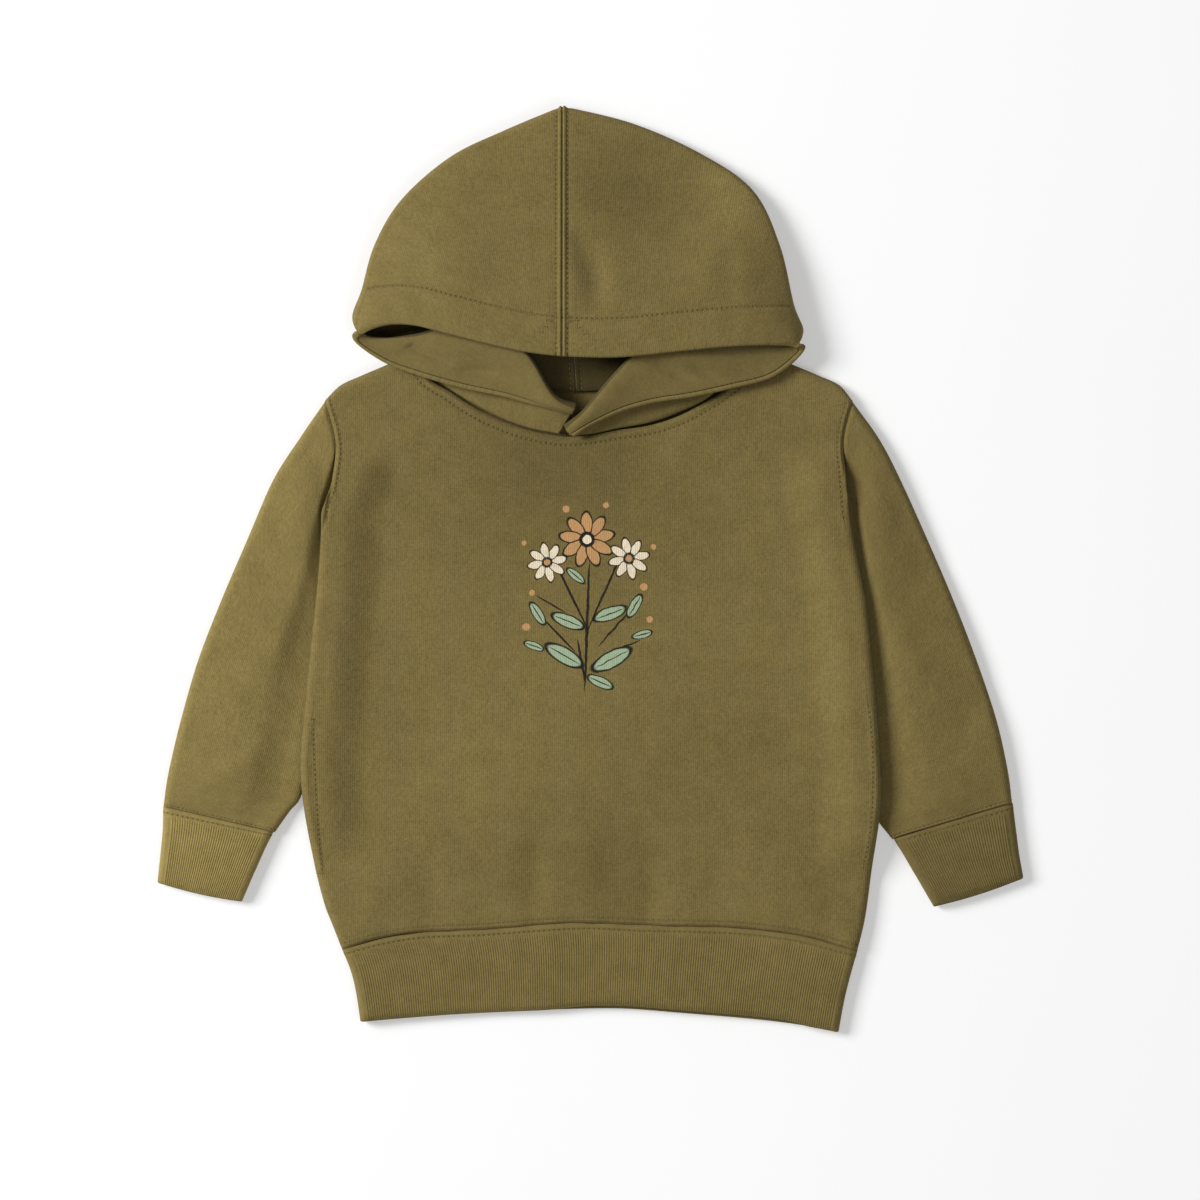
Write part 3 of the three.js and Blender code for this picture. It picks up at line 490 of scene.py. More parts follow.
class Shader:
    """One material and its nodes."""

    def __init__(self, name: str) -> None:
        """Starts a material with a plain surface shader."""
        self.material = bpy.data.materials.new(name)
        self.material.use_nodes = True
        self.tree = self.material.node_tree
        self.surface = self.tree.nodes["Principled BSDF"]

    def node(self, kind: str, settings: dict | None = None, inputs: Sequence | dict = (),
             output: int | str = 0) -> S:
        """Adds a node: its settings first, then its sockets.

        Args:
            kind: the node's type.
            settings: its own settings by name.
            inputs: values or sockets, in order or by socket name.
            output: which output to return.

        Returns:
            The chosen output.
        """
        made = self.tree.nodes.new(kind)
        for key, value in (settings or {}).items():
            setattr(made, key, value)
        pairs = inputs.items() if isinstance(inputs, dict) else enumerate(inputs)
        for key, value in pairs:
            self.join(made.inputs[key], value)
        return S(self, made.outputs[output])

    def join(self, socket: bpy.types.NodeSocket, value: "S | float | tuple") -> None:
        """Links a socket or sets its value."""
        if isinstance(value, S):
            self.tree.links.new(value.socket, socket)
        else:
            socket.default_value = value

    def split(self, vector: S) -> list[S]:
        """The three parts of a vector."""
        made = self.node("ShaderNodeSeparateXYZ", None, [vector]).socket.node
        return [S(self, made.outputs[k]) for k in range(3)]

    def kept(self, name: str) -> S:
        """A value kept on the cloth's points."""
        return self.node("ShaderNodeAttribute", {"attribute_name": name}, output="Fac")

    def noise(self, vector: S, scale: float, detail: float, roughness: float, flat: bool = True) -> S:
        """Noise of about 0 to 1 over a place."""
        return self.node("ShaderNodeTexNoise", {"noise_dimensions": "2D" if flat else "3D"},
                         {"Vector": vector, "Scale": scale, "Detail": detail, "Roughness": roughness})

    def blend(self, share: S | float, a: S | tuple, b: S | tuple, mode: str = "MIX") -> S:
        """Mixes two colours."""
        made = self.tree.nodes.new("ShaderNodeMix")
        made.data_type = "RGBA"
        made.blend_type = mode
        self.join(made.inputs[0], share)
        self.join(made.inputs[6], a)
        self.join(made.inputs[7], b)
        return S(self, made.outputs[2])

    def scaled(self, colour: S, by: S) -> S:
        """A colour made lighter or darker by a value."""
        return self.node("ShaderNodeVectorMath", {"operation": "SCALE"}, {"Vector": colour, "Scale": by})

    def set(self, **values: S | float | tuple) -> None:
        """Sets the surface shader's sockets, with underscores for spaces."""
        for key, value in values.items():
            self.join(self.surface.inputs[key.replace("_", " ")], value)


def linear(red: int, green: int, blue: int) -> Colour:
    """A colour given on a screen scale of 0 to 255."""
    part = [((c / 255 + 0.055) / 1.055) ** 2.4 if c > 10 else c / 255 / 12.92 for c in (red, green, blue)]
    return (part[0], part[1], part[2], 1.0)


OLIVE_DEEP = linear(95, 82, 43)
OLIVE_PALE = linear(138, 122, 74)
SHADE = linear(48, 41, 20)


class Knit(Enum):
    """How a cloth's surface is made."""

    FLEECE = "fleece"
    RIB = "rib"
    JERSEY = "jersey"


@dataclass(frozen=True)
class KnitFinish:
    """Matt olive knit, with loops along the cloth's own grain."""

    name: str
    knit: Knit
    wale: float = 1.2
    course: float = 0.9
    tone: float = 1.0

    def make(self, sprig: "SprigPrint | None" = None) -> bpy.types.Material:
        """Builds the material.

        Args:
            sprig: the print on it, if it has one.

        Returns:
            The material.
        """
        sh = Shader(self.name)
        grain = sh.node("ShaderNodeUVMap", {"uv_map": "cloth"})
        bend = sh.noise(grain, 60.0, 2.0, 0.5)
        u, v, _ = sh.split(grain)
        across = ((u + (bend - 0.5) * 0.0012) * (math.pi / (self.wale * MM))).one("SINE").one("ABSOLUTE")
        along = (v * (2 * math.pi / (self.course * MM)) + across * 2.2).one("SINE")
        speck = sh.noise(grain, 900.0, 3.0, 0.65)
        tuft = sh.noise(grain, 420.0, 2.0, 0.6)
        mottle = sh.noise(grain, 95.0, 3.0, 0.6)
        drift = sh.noise(grain, 14.0, 2.0, 0.5)
        deep, fuzz = {Knit.FLEECE: (0.16, 0.75), Knit.RIB: (0.1, 0.5), Knit.JERSEY: (0.22, 0.5)}[self.knit]
        tone = ((speck - 0.5) * fuzz * 1.1 + (tuft - 0.5) * fuzz * 0.7 + (mottle - 0.5) * 0.42
                + (drift - 0.5) * 0.3 + (across - 0.6) * deep + along * deep * 0.25 + 0.5)
        base = sh.blend(tone.low(1.0).high(0.0), OLIVE_DEEP, OLIVE_PALE)
        # Painted light and shade: the colour is scaled by a value kept on each point, above 1 for painted
        # highlights and below 1 for painted shade.
        base = sh.scaled(base, sh.kept("painted_light") * self.tone)
        # Painted shade: the colour darkens along each row of stitches, where the seam sinks in, and more at the
        # needle holes between stitches.
        away, run = sh.kept("sewn"), sh.kept("run")
        groove = away.bell(0.9)
        hole = away.bell(0.42) * ((run * (2 * math.pi / STITCH_PITCH)).one("COSINE") * 0.5 + 0.5) ** 3.0
        base = sh.blend((groove * 0.14 + hole * 0.62).low(1.0), base, SHADE)
        if sprig:
            base = sprig.over(sh, base, tone)
        height = (across * deep * 1.6 + along * deep * 0.5 + (speck - 0.5) * fuzz * 0.5
                  + (tuft - 0.5) * fuzz * 0.9 - groove * 0.5 - hole * 1.2)
        bump = sh.node("ShaderNodeBump", None, {"Strength": 0.6, "Distance": 0.0005, "Height": height})
        sh.set(Base_Color=base, Roughness=0.97, Normal=bump, Sheen_Weight=0.04, Sheen_Roughness=0.7,
               Specular_IOR_Level=0.05)
        return sh.material


@dataclass(frozen=True)
class ThreadFinish:
    """Spun thread in the cloth's colour."""

    name: str = "olive_thread"

    def make(self) -> bpy.types.Material:
        """Builds the material."""
        sh = Shader(self.name)
        place = sh.node("ShaderNodeTexCoord", output="Object")
        ply = sh.noise(place, 2600.0, 2.0, 0.5, flat=False)
        base = sh.blend(ply, linear(104, 91, 50), linear(146, 131, 84))
        bump = sh.node("ShaderNodeBump", None, {"Strength": 0.4, "Distance": 0.0001, "Height": ply})
        sh.set(Base_Color=base, Roughness=0.8, Normal=bump, Specular_IOR_Level=0.1)
        return sh.material


@dataclass(frozen=True)
class Petal:
    """One painted leaf, petal or dot of the print: an ellipse at a place, turned by an angle."""

    x: float
    y: float
    long: float
    wide: float
    turn: float
    colour: Colour
    inked: bool = False


STEMS = (
    # x, y, half length, half width, turn
    (0, -16, 34, 0.8, 88), (-9, 2, 22, 0.65, 116), (10, 4, 24, 0.65, 66), (-3, -34, 12, 0.7, 100),
    (15, -16, 14, 0.55, 48), (-15, -20, 13, 0.55, 134), (-19, -4, 9, 0.45, 150), (20, -26, 9, 0.45, 20),
)
LEAVES = (
    (-12, -31, 12, 4.4, 150), (13, -33, 12.5, 4.6, 28), (-10, -13, 10, 3.6, 158), (12, -9, 10, 3.6, 20),
    (25, -5, 7.5, 2.8, 60), (-26, -9, 7.5, 2.8, 122), (-6, 11, 6.5, 2.4, 140), (7, -45, 8, 3.0, -24),
    (-28, -26, 6, 2.2, 160), (29, -20, 6, 2.2, 14),
)
BERRIES = (
    # x, y, size
    (30, 5, 2.0), (33, -12, 1.7), (-32, -16, 2.0), (-29, 2, 1.6), (10, 48, 1.6), (-11, 46, 1.8),
    (-33, 28, 1.3), (35, 26, 1.4),
)


@dataclass(frozen=True)
class SprigPrint:
    """A sprig of field flowers and leaves, printed on the chest."""

    x: float = -1.7
    y: float = -16.0
    size: float = 1.1
    cream: Colour = linear(232, 218, 190)
    tan: Colour = linear(190, 146, 98)
    sage: Colour = linear(158, 178, 146)
    ink: Colour = linear(30, 27, 22)

    def shapes(self) -> list[Petal]:
        """Every ellipse, from the back of the print to the front."""
        made = [Petal(x, y, long, wide, turn, self.ink) for x, y, long, wide, turn in STEMS]
        for x, y, long, wide, turn in LEAVES:
            made.append(Petal(x, y, long, wide, turn, self.sage, True))
            made.append(Petal(x, y, long * 0.78, 0.32, turn, self.ink))
        flowers = ((0, 30, 14, 9, self.tan, self.cream), (-21, 18, 10, 8, self.cream, self.tan),
                   (22, 20, 10.5, 8, self.cream, self.tan))
        for cx, cy, reach, count, colour, eye in flowers:
            for k in range(count):
                turn = 360.0 * k / count + 12.0
                a = math.radians(turn)
                made.append(Petal(cx + 0.6 * reach * math.cos(a), cy + 0.6 * reach * math.sin(a),
                                  reach * 0.5, reach * 0.24, turn, colour, True))
            made.append(Petal(cx, cy, reach * 0.3, reach * 0.3, 0, self.ink))
            made.append(Petal(cx, cy, reach * 0.17, reach * 0.17, 0, eye))
        made += [Petal(x, y, size, size, 0, self.tan) for x, y, size in BERRIES]
        return made

    def over(self, sh: Shader, base: S, tone: S) -> S:
        """Lays the print over the cloth's colour.

        Args:
            sh: the cloth's material.
            base: the cloth's colour.
            tone: the cloth's own unevenness, which shows through the ink.

        Returns:
            The colour with the print on it.
        """
        place = sh.node("ShaderNodeTexCoord", output="Object")
        wobble = sh.noise(place, 240.0, 2.0, 0.5, flat=False)
        x, y, _ = sh.split(place)
        px = (x * 1000.0 + (wobble - 0.5) * 1.2 - self.x) / self.size
        py = (y * 1000.0 + (wobble - 0.5) * -1.2 - self.y) / self.size
        spot = sh.node("ShaderNodeCombineXYZ", None, [px, py, 0.0])
        worn = (tone * 0.7 + 0.6).low(1.0)
        for shape in self.shapes():
            local = sh.node("ShaderNodeMapping", {"vector_type": "TEXTURE"},
                            {"Vector": spot, "Location": (shape.x, shape.y, 0.0),
                             "Rotation": (0.0, 0.0, math.radians(shape.turn)),
                             "Scale": (shape.long, shape.wide, 1.0)})
            out = sh.node("ShaderNodeVectorMath", {"operation": "DOT_PRODUCT"}, [local, local], "Value")
            colour = sh.blend(out.step(0.55, 0.75), shape.colour, self.ink) if shape.inked else shape.colour
            base = sh.blend(out.step(1.12, 0.88) * worn, base, colour)
        return base


# ---- The body


BODY_EDGE = (
    # y, left, right
    (-220.5, -143.5, 155), (-206.5, -149, 158.5), (-195, -153.5, 160.5), (-171.5, -159.5, 163.5),
    (-134, -166, 168.5), (-111, -167.5, 168), (-76, -164.5, 165.5), (-41, -161, 162),
    (-18, -158.5, 159.5), (5, -156.5, 155), (22.5, -155.5, 151.5), (33, -155, 149.5),
    (40, -152.5, 149), (48.5, -149.5, 148), (57.5, -148, 147.5), (69, -147, 146.5),
    (80.5, -148.5, 147.5), (97.5, -153.5, 152),
)
SHOULDER_LEFT = ((-153.5, 97.5), (-145, 106), (-133.5, 111.5), (-115, 119.5), (-103, 126))
SHOULDER_RIGHT = ((95.5, 127), (119.5, 117.5), (133.5, 111.5), (145, 106), (152, 97.5))
NECK_FRONT = ((-103, 126), (-94.5, 111.5), (-81, 102.5), (-64, 91.5), (-40.5, 81.5), (-15.5, 76.5),
              (0, 77.5), (17.5, 80.5), (35, 83), (52, 88.5), (69.5, 98), (79.5, 105), (90, 116.5),
              (95.5, 127))
NECK_BACK = ((-103, 126), (-75.5, 114.5), (-40.5, 107.5), (-7.5, 105), (29, 108), (64, 115), (95.5, 127))
WAIST_SEAM = ((-143.5, -220.5), (-122, -214.5), (-98.5, -210.5), (-64, -209), (-6, -205), (29, -206.3),
              (87, -208), (122, -212.5), (145, -218.5), (155, -221))
HEM = ((-133, -262), (-110, -260), (-75.5, -257.5), (-17.5, -255), (17.5, -254.5), (52, -257),
       (98.5, -261), (122, -264), (144, -268))
BAND_EDGE = ((0, -143.5, 155), (0.3, -138.5, 151), (0.6, -135.5, 147.5), (1, -133, 144))
LIFT_LEFT = ((-170, 0), (-140, 1), (51, 1), (74, 0))
LIFT_RIGHT = ((-182, 0), (-154, 1), (51, 1), (74, 0))
SEAM_UNDER_ARM = ((-148, 58), (-149, 51.6), (-150.5, 40), (-152, 31), (-154, 23))
POCKET_LEFT = ((-159.5, -90), (-158.9, -110.8), (-157.2, -139.8), (-156, -157.2), (-154.5, -176))
POCKET_RIGHT = ((161.5, -80), (163.6, -105), (163.6, -134), (161.5, -157), (159, -170))

left_edge = Line([(y, a) for y, a, _ in BODY_EDGE])
right_edge = Line([(y, b) for y, _, b in BODY_EDGE])
waist_seam = Line(WAIST_SEAM)
hem_line = Line(HEM)
neck_back = Line(NECK_BACK)
lift_left = Line(LIFT_LEFT, straight=True)
lift_right = Line(LIFT_RIGHT, straight=True)
shoulder_left = Line(SHOULDER_LEFT)
shoulder_right = Line(SHOULDER_RIGHT)
EDGE_LOW, EDGE_HIGH = BODY_EDGE[0][0], BODY_EDGE[-1][0]


def lift(x: Array, y: Array) -> Array:
    """How far the body is lifted by the sleeves that its sides lie on."""
    at = np.clip(y, EDGE_LOW, EDGE_HIGH)
    left = smooth(lift_left(y), 0, 1) * (1 - smooth(x - left_edge(at), 12, 38))
    right = smooth(lift_right(y), 0, 1) * (1 - smooth(right_edge(at) - x, 12, 38))
    return SIDE_LIFT * (left + right)


# Painted light on the front panel's colour: painted shade below the neck and low in the middle, painted highlights
# in a diagonal band at the lower left and down the right side.
BODY_PAINTED_LIGHT = (
    Crease(-70, 66, 30, 52, 44, -0.24), Crease(-148, -140, 20, -52, 40, 0.1),
    Crease(124, 10, 128, -120, 34, 0.1), Crease(-20, -170, 40, -168, 42, -0.12),
    Crease(-70, -150, -40, -100, 22, 0.05),
)


@dataclass
class BodyPanels:
    """Front and back panels, one on the other, sewn at the sides."""

    front_count: tuple[int, int] = (172, 178)
    back_count: tuple[int, int] = (96, 100)
    cut: tuple[float, float] = (0.336, 0.337)
    front_area: float = 0.100
    back_area: float = 0.104
    creases: tuple[Crease, ...] = (
        Crease(-34, -204, -30, -150, 9, -1.5), Crease(36, -205, 34, -160, 9, -1.4),
        Crease(-4, -205, -2, -140, 12, 1.2), Crease(-140, 60, -100, 20, 11, 1.1),
        Crease(138, 56, 100, 10, 11, 1.1), Crease(-150, -60, -120, -110, 14, 1.0),
        Crease(152, -60, 124, -120, 14, 1.0), Crease(70, -206, 76, -165, 8, -0.9),
        Crease(-90, -210, -94, -172, 8, -0.9), Crease(-60, 78, -40, 50, 9, 0.6),
        Crease(60, 84, 46, 52, 9, 0.6), Crease(-120, 96, -96, 84, 8, -0.7), Crease(118, 100, 92, 84, 8, -0.7),
        Crease(-128, -196, -108, -168, 9, 0.8), Crease(130, -200, 112, -170, 9, 0.8),
    )

    def top(self, x: Array, front: bool) -> Array:
        """Shoulder and neck line at each x."""
        neck = Line(NECK_FRONT if front else NECK_BACK)
        return np.where(x < NECK_LEFT, shoulder_left(x), np.where(x > NECK_RIGHT, shoulder_right(x), neck(x)))

    def face(self, front: bool) -> tuple[Array, Array, Marks]:
        """Lays out one panel.

        Args:
            front: whether it is the front panel.

        Returns:
            Its outer face, its inner face and the marks on it.
        """
        facing = 1.0 if front else -1.0
        count = self.front_count if front else self.back_count
        columns = shares((0, 0.0018, 0.0036, 0.006, 0.009, 0.013, 0.018), count[0])
        rows = shares((0, 0.0025, 0.005, 0.008, 0.0115, 0.016), count[1])
        u, v = np.meshgrid(columns, rows)
        span = right_edge(EDGE_HIGH) - left_edge(EDGE_HIGH)
        top_x = left_edge(EDGE_HIGH) + span * u
        top_y = self.top(top_x, front)
        foot_x = left_edge(EDGE_LOW) + (right_edge(EDGE_LOW) - left_edge(EDGE_LOW)) * u
        foot_y = waist_seam(foot_x) + JOINED / 2
        y = foot_y + (top_y - foot_y) * v
        held = np.clip(y, EDGE_LOW, EDGE_HIGH)
        left, right = left_edge(held), right_edge(held)
        x = left + (right - left) * u
        sewn = 1 - smooth(y, 12, 44)
        shoulder = (1 - smooth(top_x, NECK_LEFT - 6, NECK_LEFT)) + smooth(top_x, NECK_RIGHT, NECK_RIGHT + 6)
        inward = np.minimum(x - left, right - x)
        side, ridge = turned(inward, SIDE_ROUND), turned(top_y - y, SIDE_ROUND)
        height = (1 - sewn * (1 - side)) * (1 - shoulder * (1 - ridge))
        middle = lift(x, y) + BODY_LOFT / 2
        z = middle + facing * (SEAM / 2 + (BODY_LOFT / 2 - SEAM / 2) * height)
        marks = {"sewn": np.full_like(x, FAR), "run": np.zeros_like(x), "painted_light": np.ones_like(x)}
        inner_z = middle + facing * (SEAM / 2 + (BODY_LOFT / 2 - SEAM / 2 - FLEECE) * height)
        inner_x = x + sewn * FLEECE * np.sqrt(1 - side**2) * np.where(u < 0.5, 1, -1)
        inner_y = y - clamp01(shoulder) * FLEECE * np.sqrt(1 - ridge**2)
        if front:
            folds = (relief(self.creases, x, y) + self.swell(x, y)) * side * ridge
            z, inner_z = z + folds, inner_z + folds
            z = z + self.seams(x, y, y - foot_y, top_y - y, inward, shoulder)
            marks.update(nearest([from_path(x, y, path) for path in self.rows()], x.shape))
            # Painted light: the front panel's colour is painted a little darker overall, with the painted shade and
            # highlights above.
            marks["painted_light"] = 0.97 + relief(BODY_PAINTED_LIGHT, x, y)
        return np.stack([x, y, z], axis=2), np.stack([inner_x, inner_y, inner_z], axis=2), marks

    def swell(self, x: Array, y: Array) -> Array:
        """The cloth's slow swell, more of it low down."""
        low = 1 - smooth(y, -150, -40)
        return (0.35 * ripple(x, y, 38.0, 0.8) + 0.12 * ripple(x, y, 15.0, 1.9)
                + low * 0.35 * ripple(x, 0.3 * y, 12.0, 0.5))

    def seams(self, x: Array, y: Array, up: Array, down: Array, inward: Array, shoulder: Array) -> Array:
        """Welts and gathers along the waistband, neck, armholes and pockets.

        Args:
            x: where each point is, across.
            y: where each point is, up.
            up: distance above the waistband's seam.
            down: distance below the top edge.
            inward: distance in from the nearer side.
            shoulder: 1 along the shoulders, 0 along the neck.

        Returns:
            The height that they add at each point.
        """
        up, down = np.maximum(up, 0), np.maximum(down, 0)
        gather = np.exp(-up / 9.0) * (0.45 * ripple(x, 0 * y, 3.4, 0.3) + 0.35 * ripple(x, 0 * y, 7.5, 2.0))
        pull = np.exp(-down / 7.0) * 0.2 * ripple(x, 0 * y, 5.0, 1.2)
        neck = (1 - clamp01(shoulder)) * (welt(down * 0.75) * 0.8 + pull)
        arm = smooth(y, 52, 60) * welt(inward)
        under, _ = from_path(x, y, smooth_path(SEAM_UNDER_ARM))
        under = smooth(-y, -60, -54) * smooth(y, 18, 26) * (x < 0) * welt(np.abs(under)) * 0.8
        pocket_left = smooth(y, -178, -172) * smooth(-y, 88, 94)
        pocket_right = smooth(y, -172, -166) * smooth(-y, 78, 84)
        lip = 0.5 * hump(inward, 3.4, 1.8) - 0.35 * hump(inward, 6.4, 0.9)
        mouth = np.where(x < 0, pocket_left, pocket_right) * lip
        return welt(up) + gather + neck + arm + under + mouth

    def rows(self) -> list[Array]:
        """Rows of stitches on the front panel, in plan."""
        neck = beside(smooth_path(NECK_FRONT), -NECK_ROW)[3:-3]
        waist = beside(smooth_path(WAIST_SEAM), SEAM_ROW)
        heights = np.linspace(30, 98, 46)
        arm_left = np.stack([left_edge(heights) + SEAM_ROW, heights], axis=1)
        arm_right = np.stack([right_edge(heights) - SEAM_ROW, heights], axis=1)
        return [neck, waist, arm_left, arm_right, smooth_path(POCKET_LEFT), smooth_path(POCKET_RIGHT)]

    def bars(self) -> list[Array]:
        """Bar tacks at the ends of the pockets, in plan."""
        made = []
        for path, way in ((POCKET_LEFT, -1), (POCKET_RIGHT, 1)):
            for x, y in (path[0], path[-1]):
                made.append(np.array([(x + way * d, y) for d in np.linspace(-0.6, 4.2, 12)]))
        return made

    def build(self, printed: bpy.types.Material, plain: bpy.types.Material,
              thread: bpy.types.Material) -> None:
        """Makes both panels and the stitching on the front."""
        for name, front in (("front_panel", True), ("back_panel", False)):
            points, inner, marks = self.face(front)
            made = Cloth(name, points, points[:, :, :2], marks).closed(inner)
            trim = []
            if front:
                table = Table(made)
                rows = StitchRow("front_topstitch").build([table.under(row) for row in self.rows()])
                tack = StitchRow("pocket_bar_tacks", pitch=0.5, length=0.55, width=1.5, height=0.5)
                tacks = tack.build([table.under(bar) for bar in self.bars()])
                trim = [rows, tacks]
                dress(trim, thread)
            dress([made], printed if front else plain)
            node, area = ("body_front", self.front_area) if front else ("body_back", self.back_area)
            declare(made, node, trim)
            LOG.info("%s: %d points", name, len(made.data.vertices))


# ---- Flattened tubes: sleeves, cuffs and waistband


BENDS = (0.25, 0.8, 1.6, 2.6, 3.8, SIDE_ROUND)


def ring_shares(top: int, under: int, width: float) -> list[tuple[float, int]]:
    """Shares across a flattened tube, over its top (1), its edges (0) and its underside (-1)."""
    bend = [d / width for d in BENDS]
    over = [(0.0, 0)] + [(u, 1) for u in bend]
    over += [(bend[-1] + (1 - 2 * bend[-1]) * k / top, 1) for k in range(1, top)]
    over += [(1 - u, 1) for u in reversed(bend)] + [(1.0, 0)]
    back = [(1 - u, -1) for u in bend]
    back += [(1 - bend[-1] - (1 - 2 * bend[-1]) * k / under, -1) for k in range(1, under)]
    back += [(u, -1) for u in reversed(bend)]
    return over + back


@dataclass
class FlatTube:
    """A flattened tube of cloth between two edge lines."""

    name: str
    wall: float
    width: float
    length: float
    top: int
    under: int
    rows: Array
    # Painted light: the tube's colour is scaled by this, lighter or darker as the light falls on it.
    painted_light: float = 1.0

    def build(self, plan: Callable[[Array, Array, Array], tuple[Array, Array]],
              loft: Callable[[Array, Array], Array],
              raised: Callable[[Array, Array, Array, Array], tuple[Array, Array]],
              sewn_at: float) -> tuple[bpy.types.Object, bpy.types.Object]:
        """Makes the tube and the stitches round it.

        Args:
            plan: x and y in mm for a share across, a share along and the side (1 on top).
            loft: the tube's height there.
            raised: its top's folds and what is on its outer face alone, from the shares and the plan.
            sewn_at: how far along, in mm, its row of stitches is.

        Returns:
            The tube and its stitches.
        """
        ring = ring_shares(self.top, self.under, self.width)
        ring.append(ring[0])
        u, v = np.meshgrid([a for a, _ in ring], self.rows)
        side = np.meshgrid([float(s) for _, s in ring], self.rows)[0]
        x, y = plan(u, v, side)
        full = turned(np.minimum(u, 1 - u) * self.width, SIDE_ROUND)
        half = loft(u, v) / 2
        folds, fine = (np.where(side > 0, part * full, 0.0) for part in raised(u, v, x, y))
        points = np.stack([x, y, half + side * half * full + folds + fine], axis=2)
        far_edge = self.top + 2 * len(BENDS)
        first, last = points[:, :1, :2], points[:, far_edge:far_edge + 1, :2]
        way = (last - first) / np.maximum(np.linalg.norm(last - first, axis=2, keepdims=True), 1e-9)
        into = self.wall * np.sqrt(1 - full**2) * np.where(u < 0.5, 1, -1)
        inner_z = half + side * (half - self.wall) * full + folds
        inner = np.concatenate([points[:, :, :2] + way * into[:, :, None], inner_z[:, :, None]], axis=2)
        round_at = np.where(np.arange(len(ring)) > far_edge, 2 - u, u) * self.width
        flat = np.stack([round_at, v * self.length], axis=2)
        marks = {"sewn": v * self.length - sewn_at, "run": round_at, "painted_light": np.full_like(x, self.painted_light)}
        outward = np.cross(np.gradient(points, axis=1), np.gradient(points, axis=0))
        outward /= np.maximum(np.linalg.norm(outward, axis=2, keepdims=True), 1e-9)
        turn = outward[len(self.rows) // 2, self.top // 2, 2] < 0
        tube = Cloth(self.name, points, flat, marks).closed(inner, tube=True)
        share = sewn_at / self.length
        at, out = (np.array([[np.interp(share, self.rows, part[:, j, k]) for k in range(3)]
                             for j in range(len(ring))]) for part in (points, outward))
        return tube, StitchRow(f"{self.name}_stitches").build([(at, -out if turn else out)])


SLEEVE_LEFT = (
    # outer x, outer y, inner x, inner y, bow, under, drop
    (-153.5, 97, -150, 5, 1, 1, 0.52), (-168, 76, -150, -9.5, 0.5, 1, 0.75),
    (-183.5, 51.5, -152, -29.5, 0.1, 1, 0.85), (-198.5, 17, -154.5, -50, 0, 1, 0.85),
    (-213.5, -18, -157, -73, 0, 1, 0.85), (-227, -53, -160, -96.5, 0, 1, 0.85),
    (-237, -87.5, -163.5, -117.5, 0, 1, 0.85), (-243, -112.5, -168, -133, 0, 1, 0.85),
    (-245.5, -125.5, -174, -140.5, 0, 0.6, 0.85), (-247, -137.5, -182.5, -152.5, 0, 0, 0.85),
)
SLEEVE_RIGHT = (
    (152.5, 97, 148.5, 5, 1, 1, 0.52), (168, 75, 149, -9.5, 0.5, 1, 0.75),
    (180, 51.5, 152.5, -29.5, 0.1, 1, 0.85), (195.5, 17, 155.5, -50, 0, 1, 0.85),
    (210.5, -18, 158, -73, 0, 1, 0.85), (224, -53, 160, -96.5, 0, 1, 0.85),
    (235.5, -87.5, 162, -122.5, 0, 1, 0.85), (242, -116.5, 164, -141, 0, 1, 0.85),
    (244.5, -135.5, 175, -156.5, 0, 0.4, 0.85),
)
ARMHOLE_LEFT = ((5, -150), (19.5, -152.5), (31.5, -152), (40, -150.5), (56, -148.2))
ARMHOLE_RIGHT = ((5, 148.5), (22.5, 149), (40, 148.7), (56, 147.6))
CUFF_LEFT = ((-247.2, -138, -183.4, -153), (-247, -151.5, -188, -160.5), (-248.5, -167, -194.5, -175),
             (-250.5, -181, -201.5, -192))
CUFF_RIGHT = ((244.9, -136, 176, -157), (246, -149, 181.5, -164.5), (248, -164.5, 188.5, -176.5),
              (251, -178.5, 199, -195))

SLEEVE_CREASES_LEFT = (
    Crease(-165, 60, -172, 10, 9, 1.2), Crease(-176, -30, -196, -70, 9, 1.0),
    Crease(-232, -60, -214, -105, 9, -1.0), Crease(-186, -104, -222, -124, 8, 1.2),
    Crease(-200, 4, -176, -8, 8, -0.8),
)
SLEEVE_CREASES_RIGHT = (
    Crease(164, 60, 172, 8, 9, 1.2), Crease(178, -34, 200, -74, 9, 1.0),
    Crease(230, -58, 212, -104, 9, -1.0), Crease(188, -112, 224, -124, 8, 1.2),
    Crease(200, 2, 178, -12, 8, -0.8),
)


def edges(table: Sequence) -> list[Line]:
    """Smooth lines through each column of a table, by row."""
    rows = np.array(table, dtype=float)
    return [Line(list(enumerate(rows[:, k]))) for k in range(rows.shape[1])]


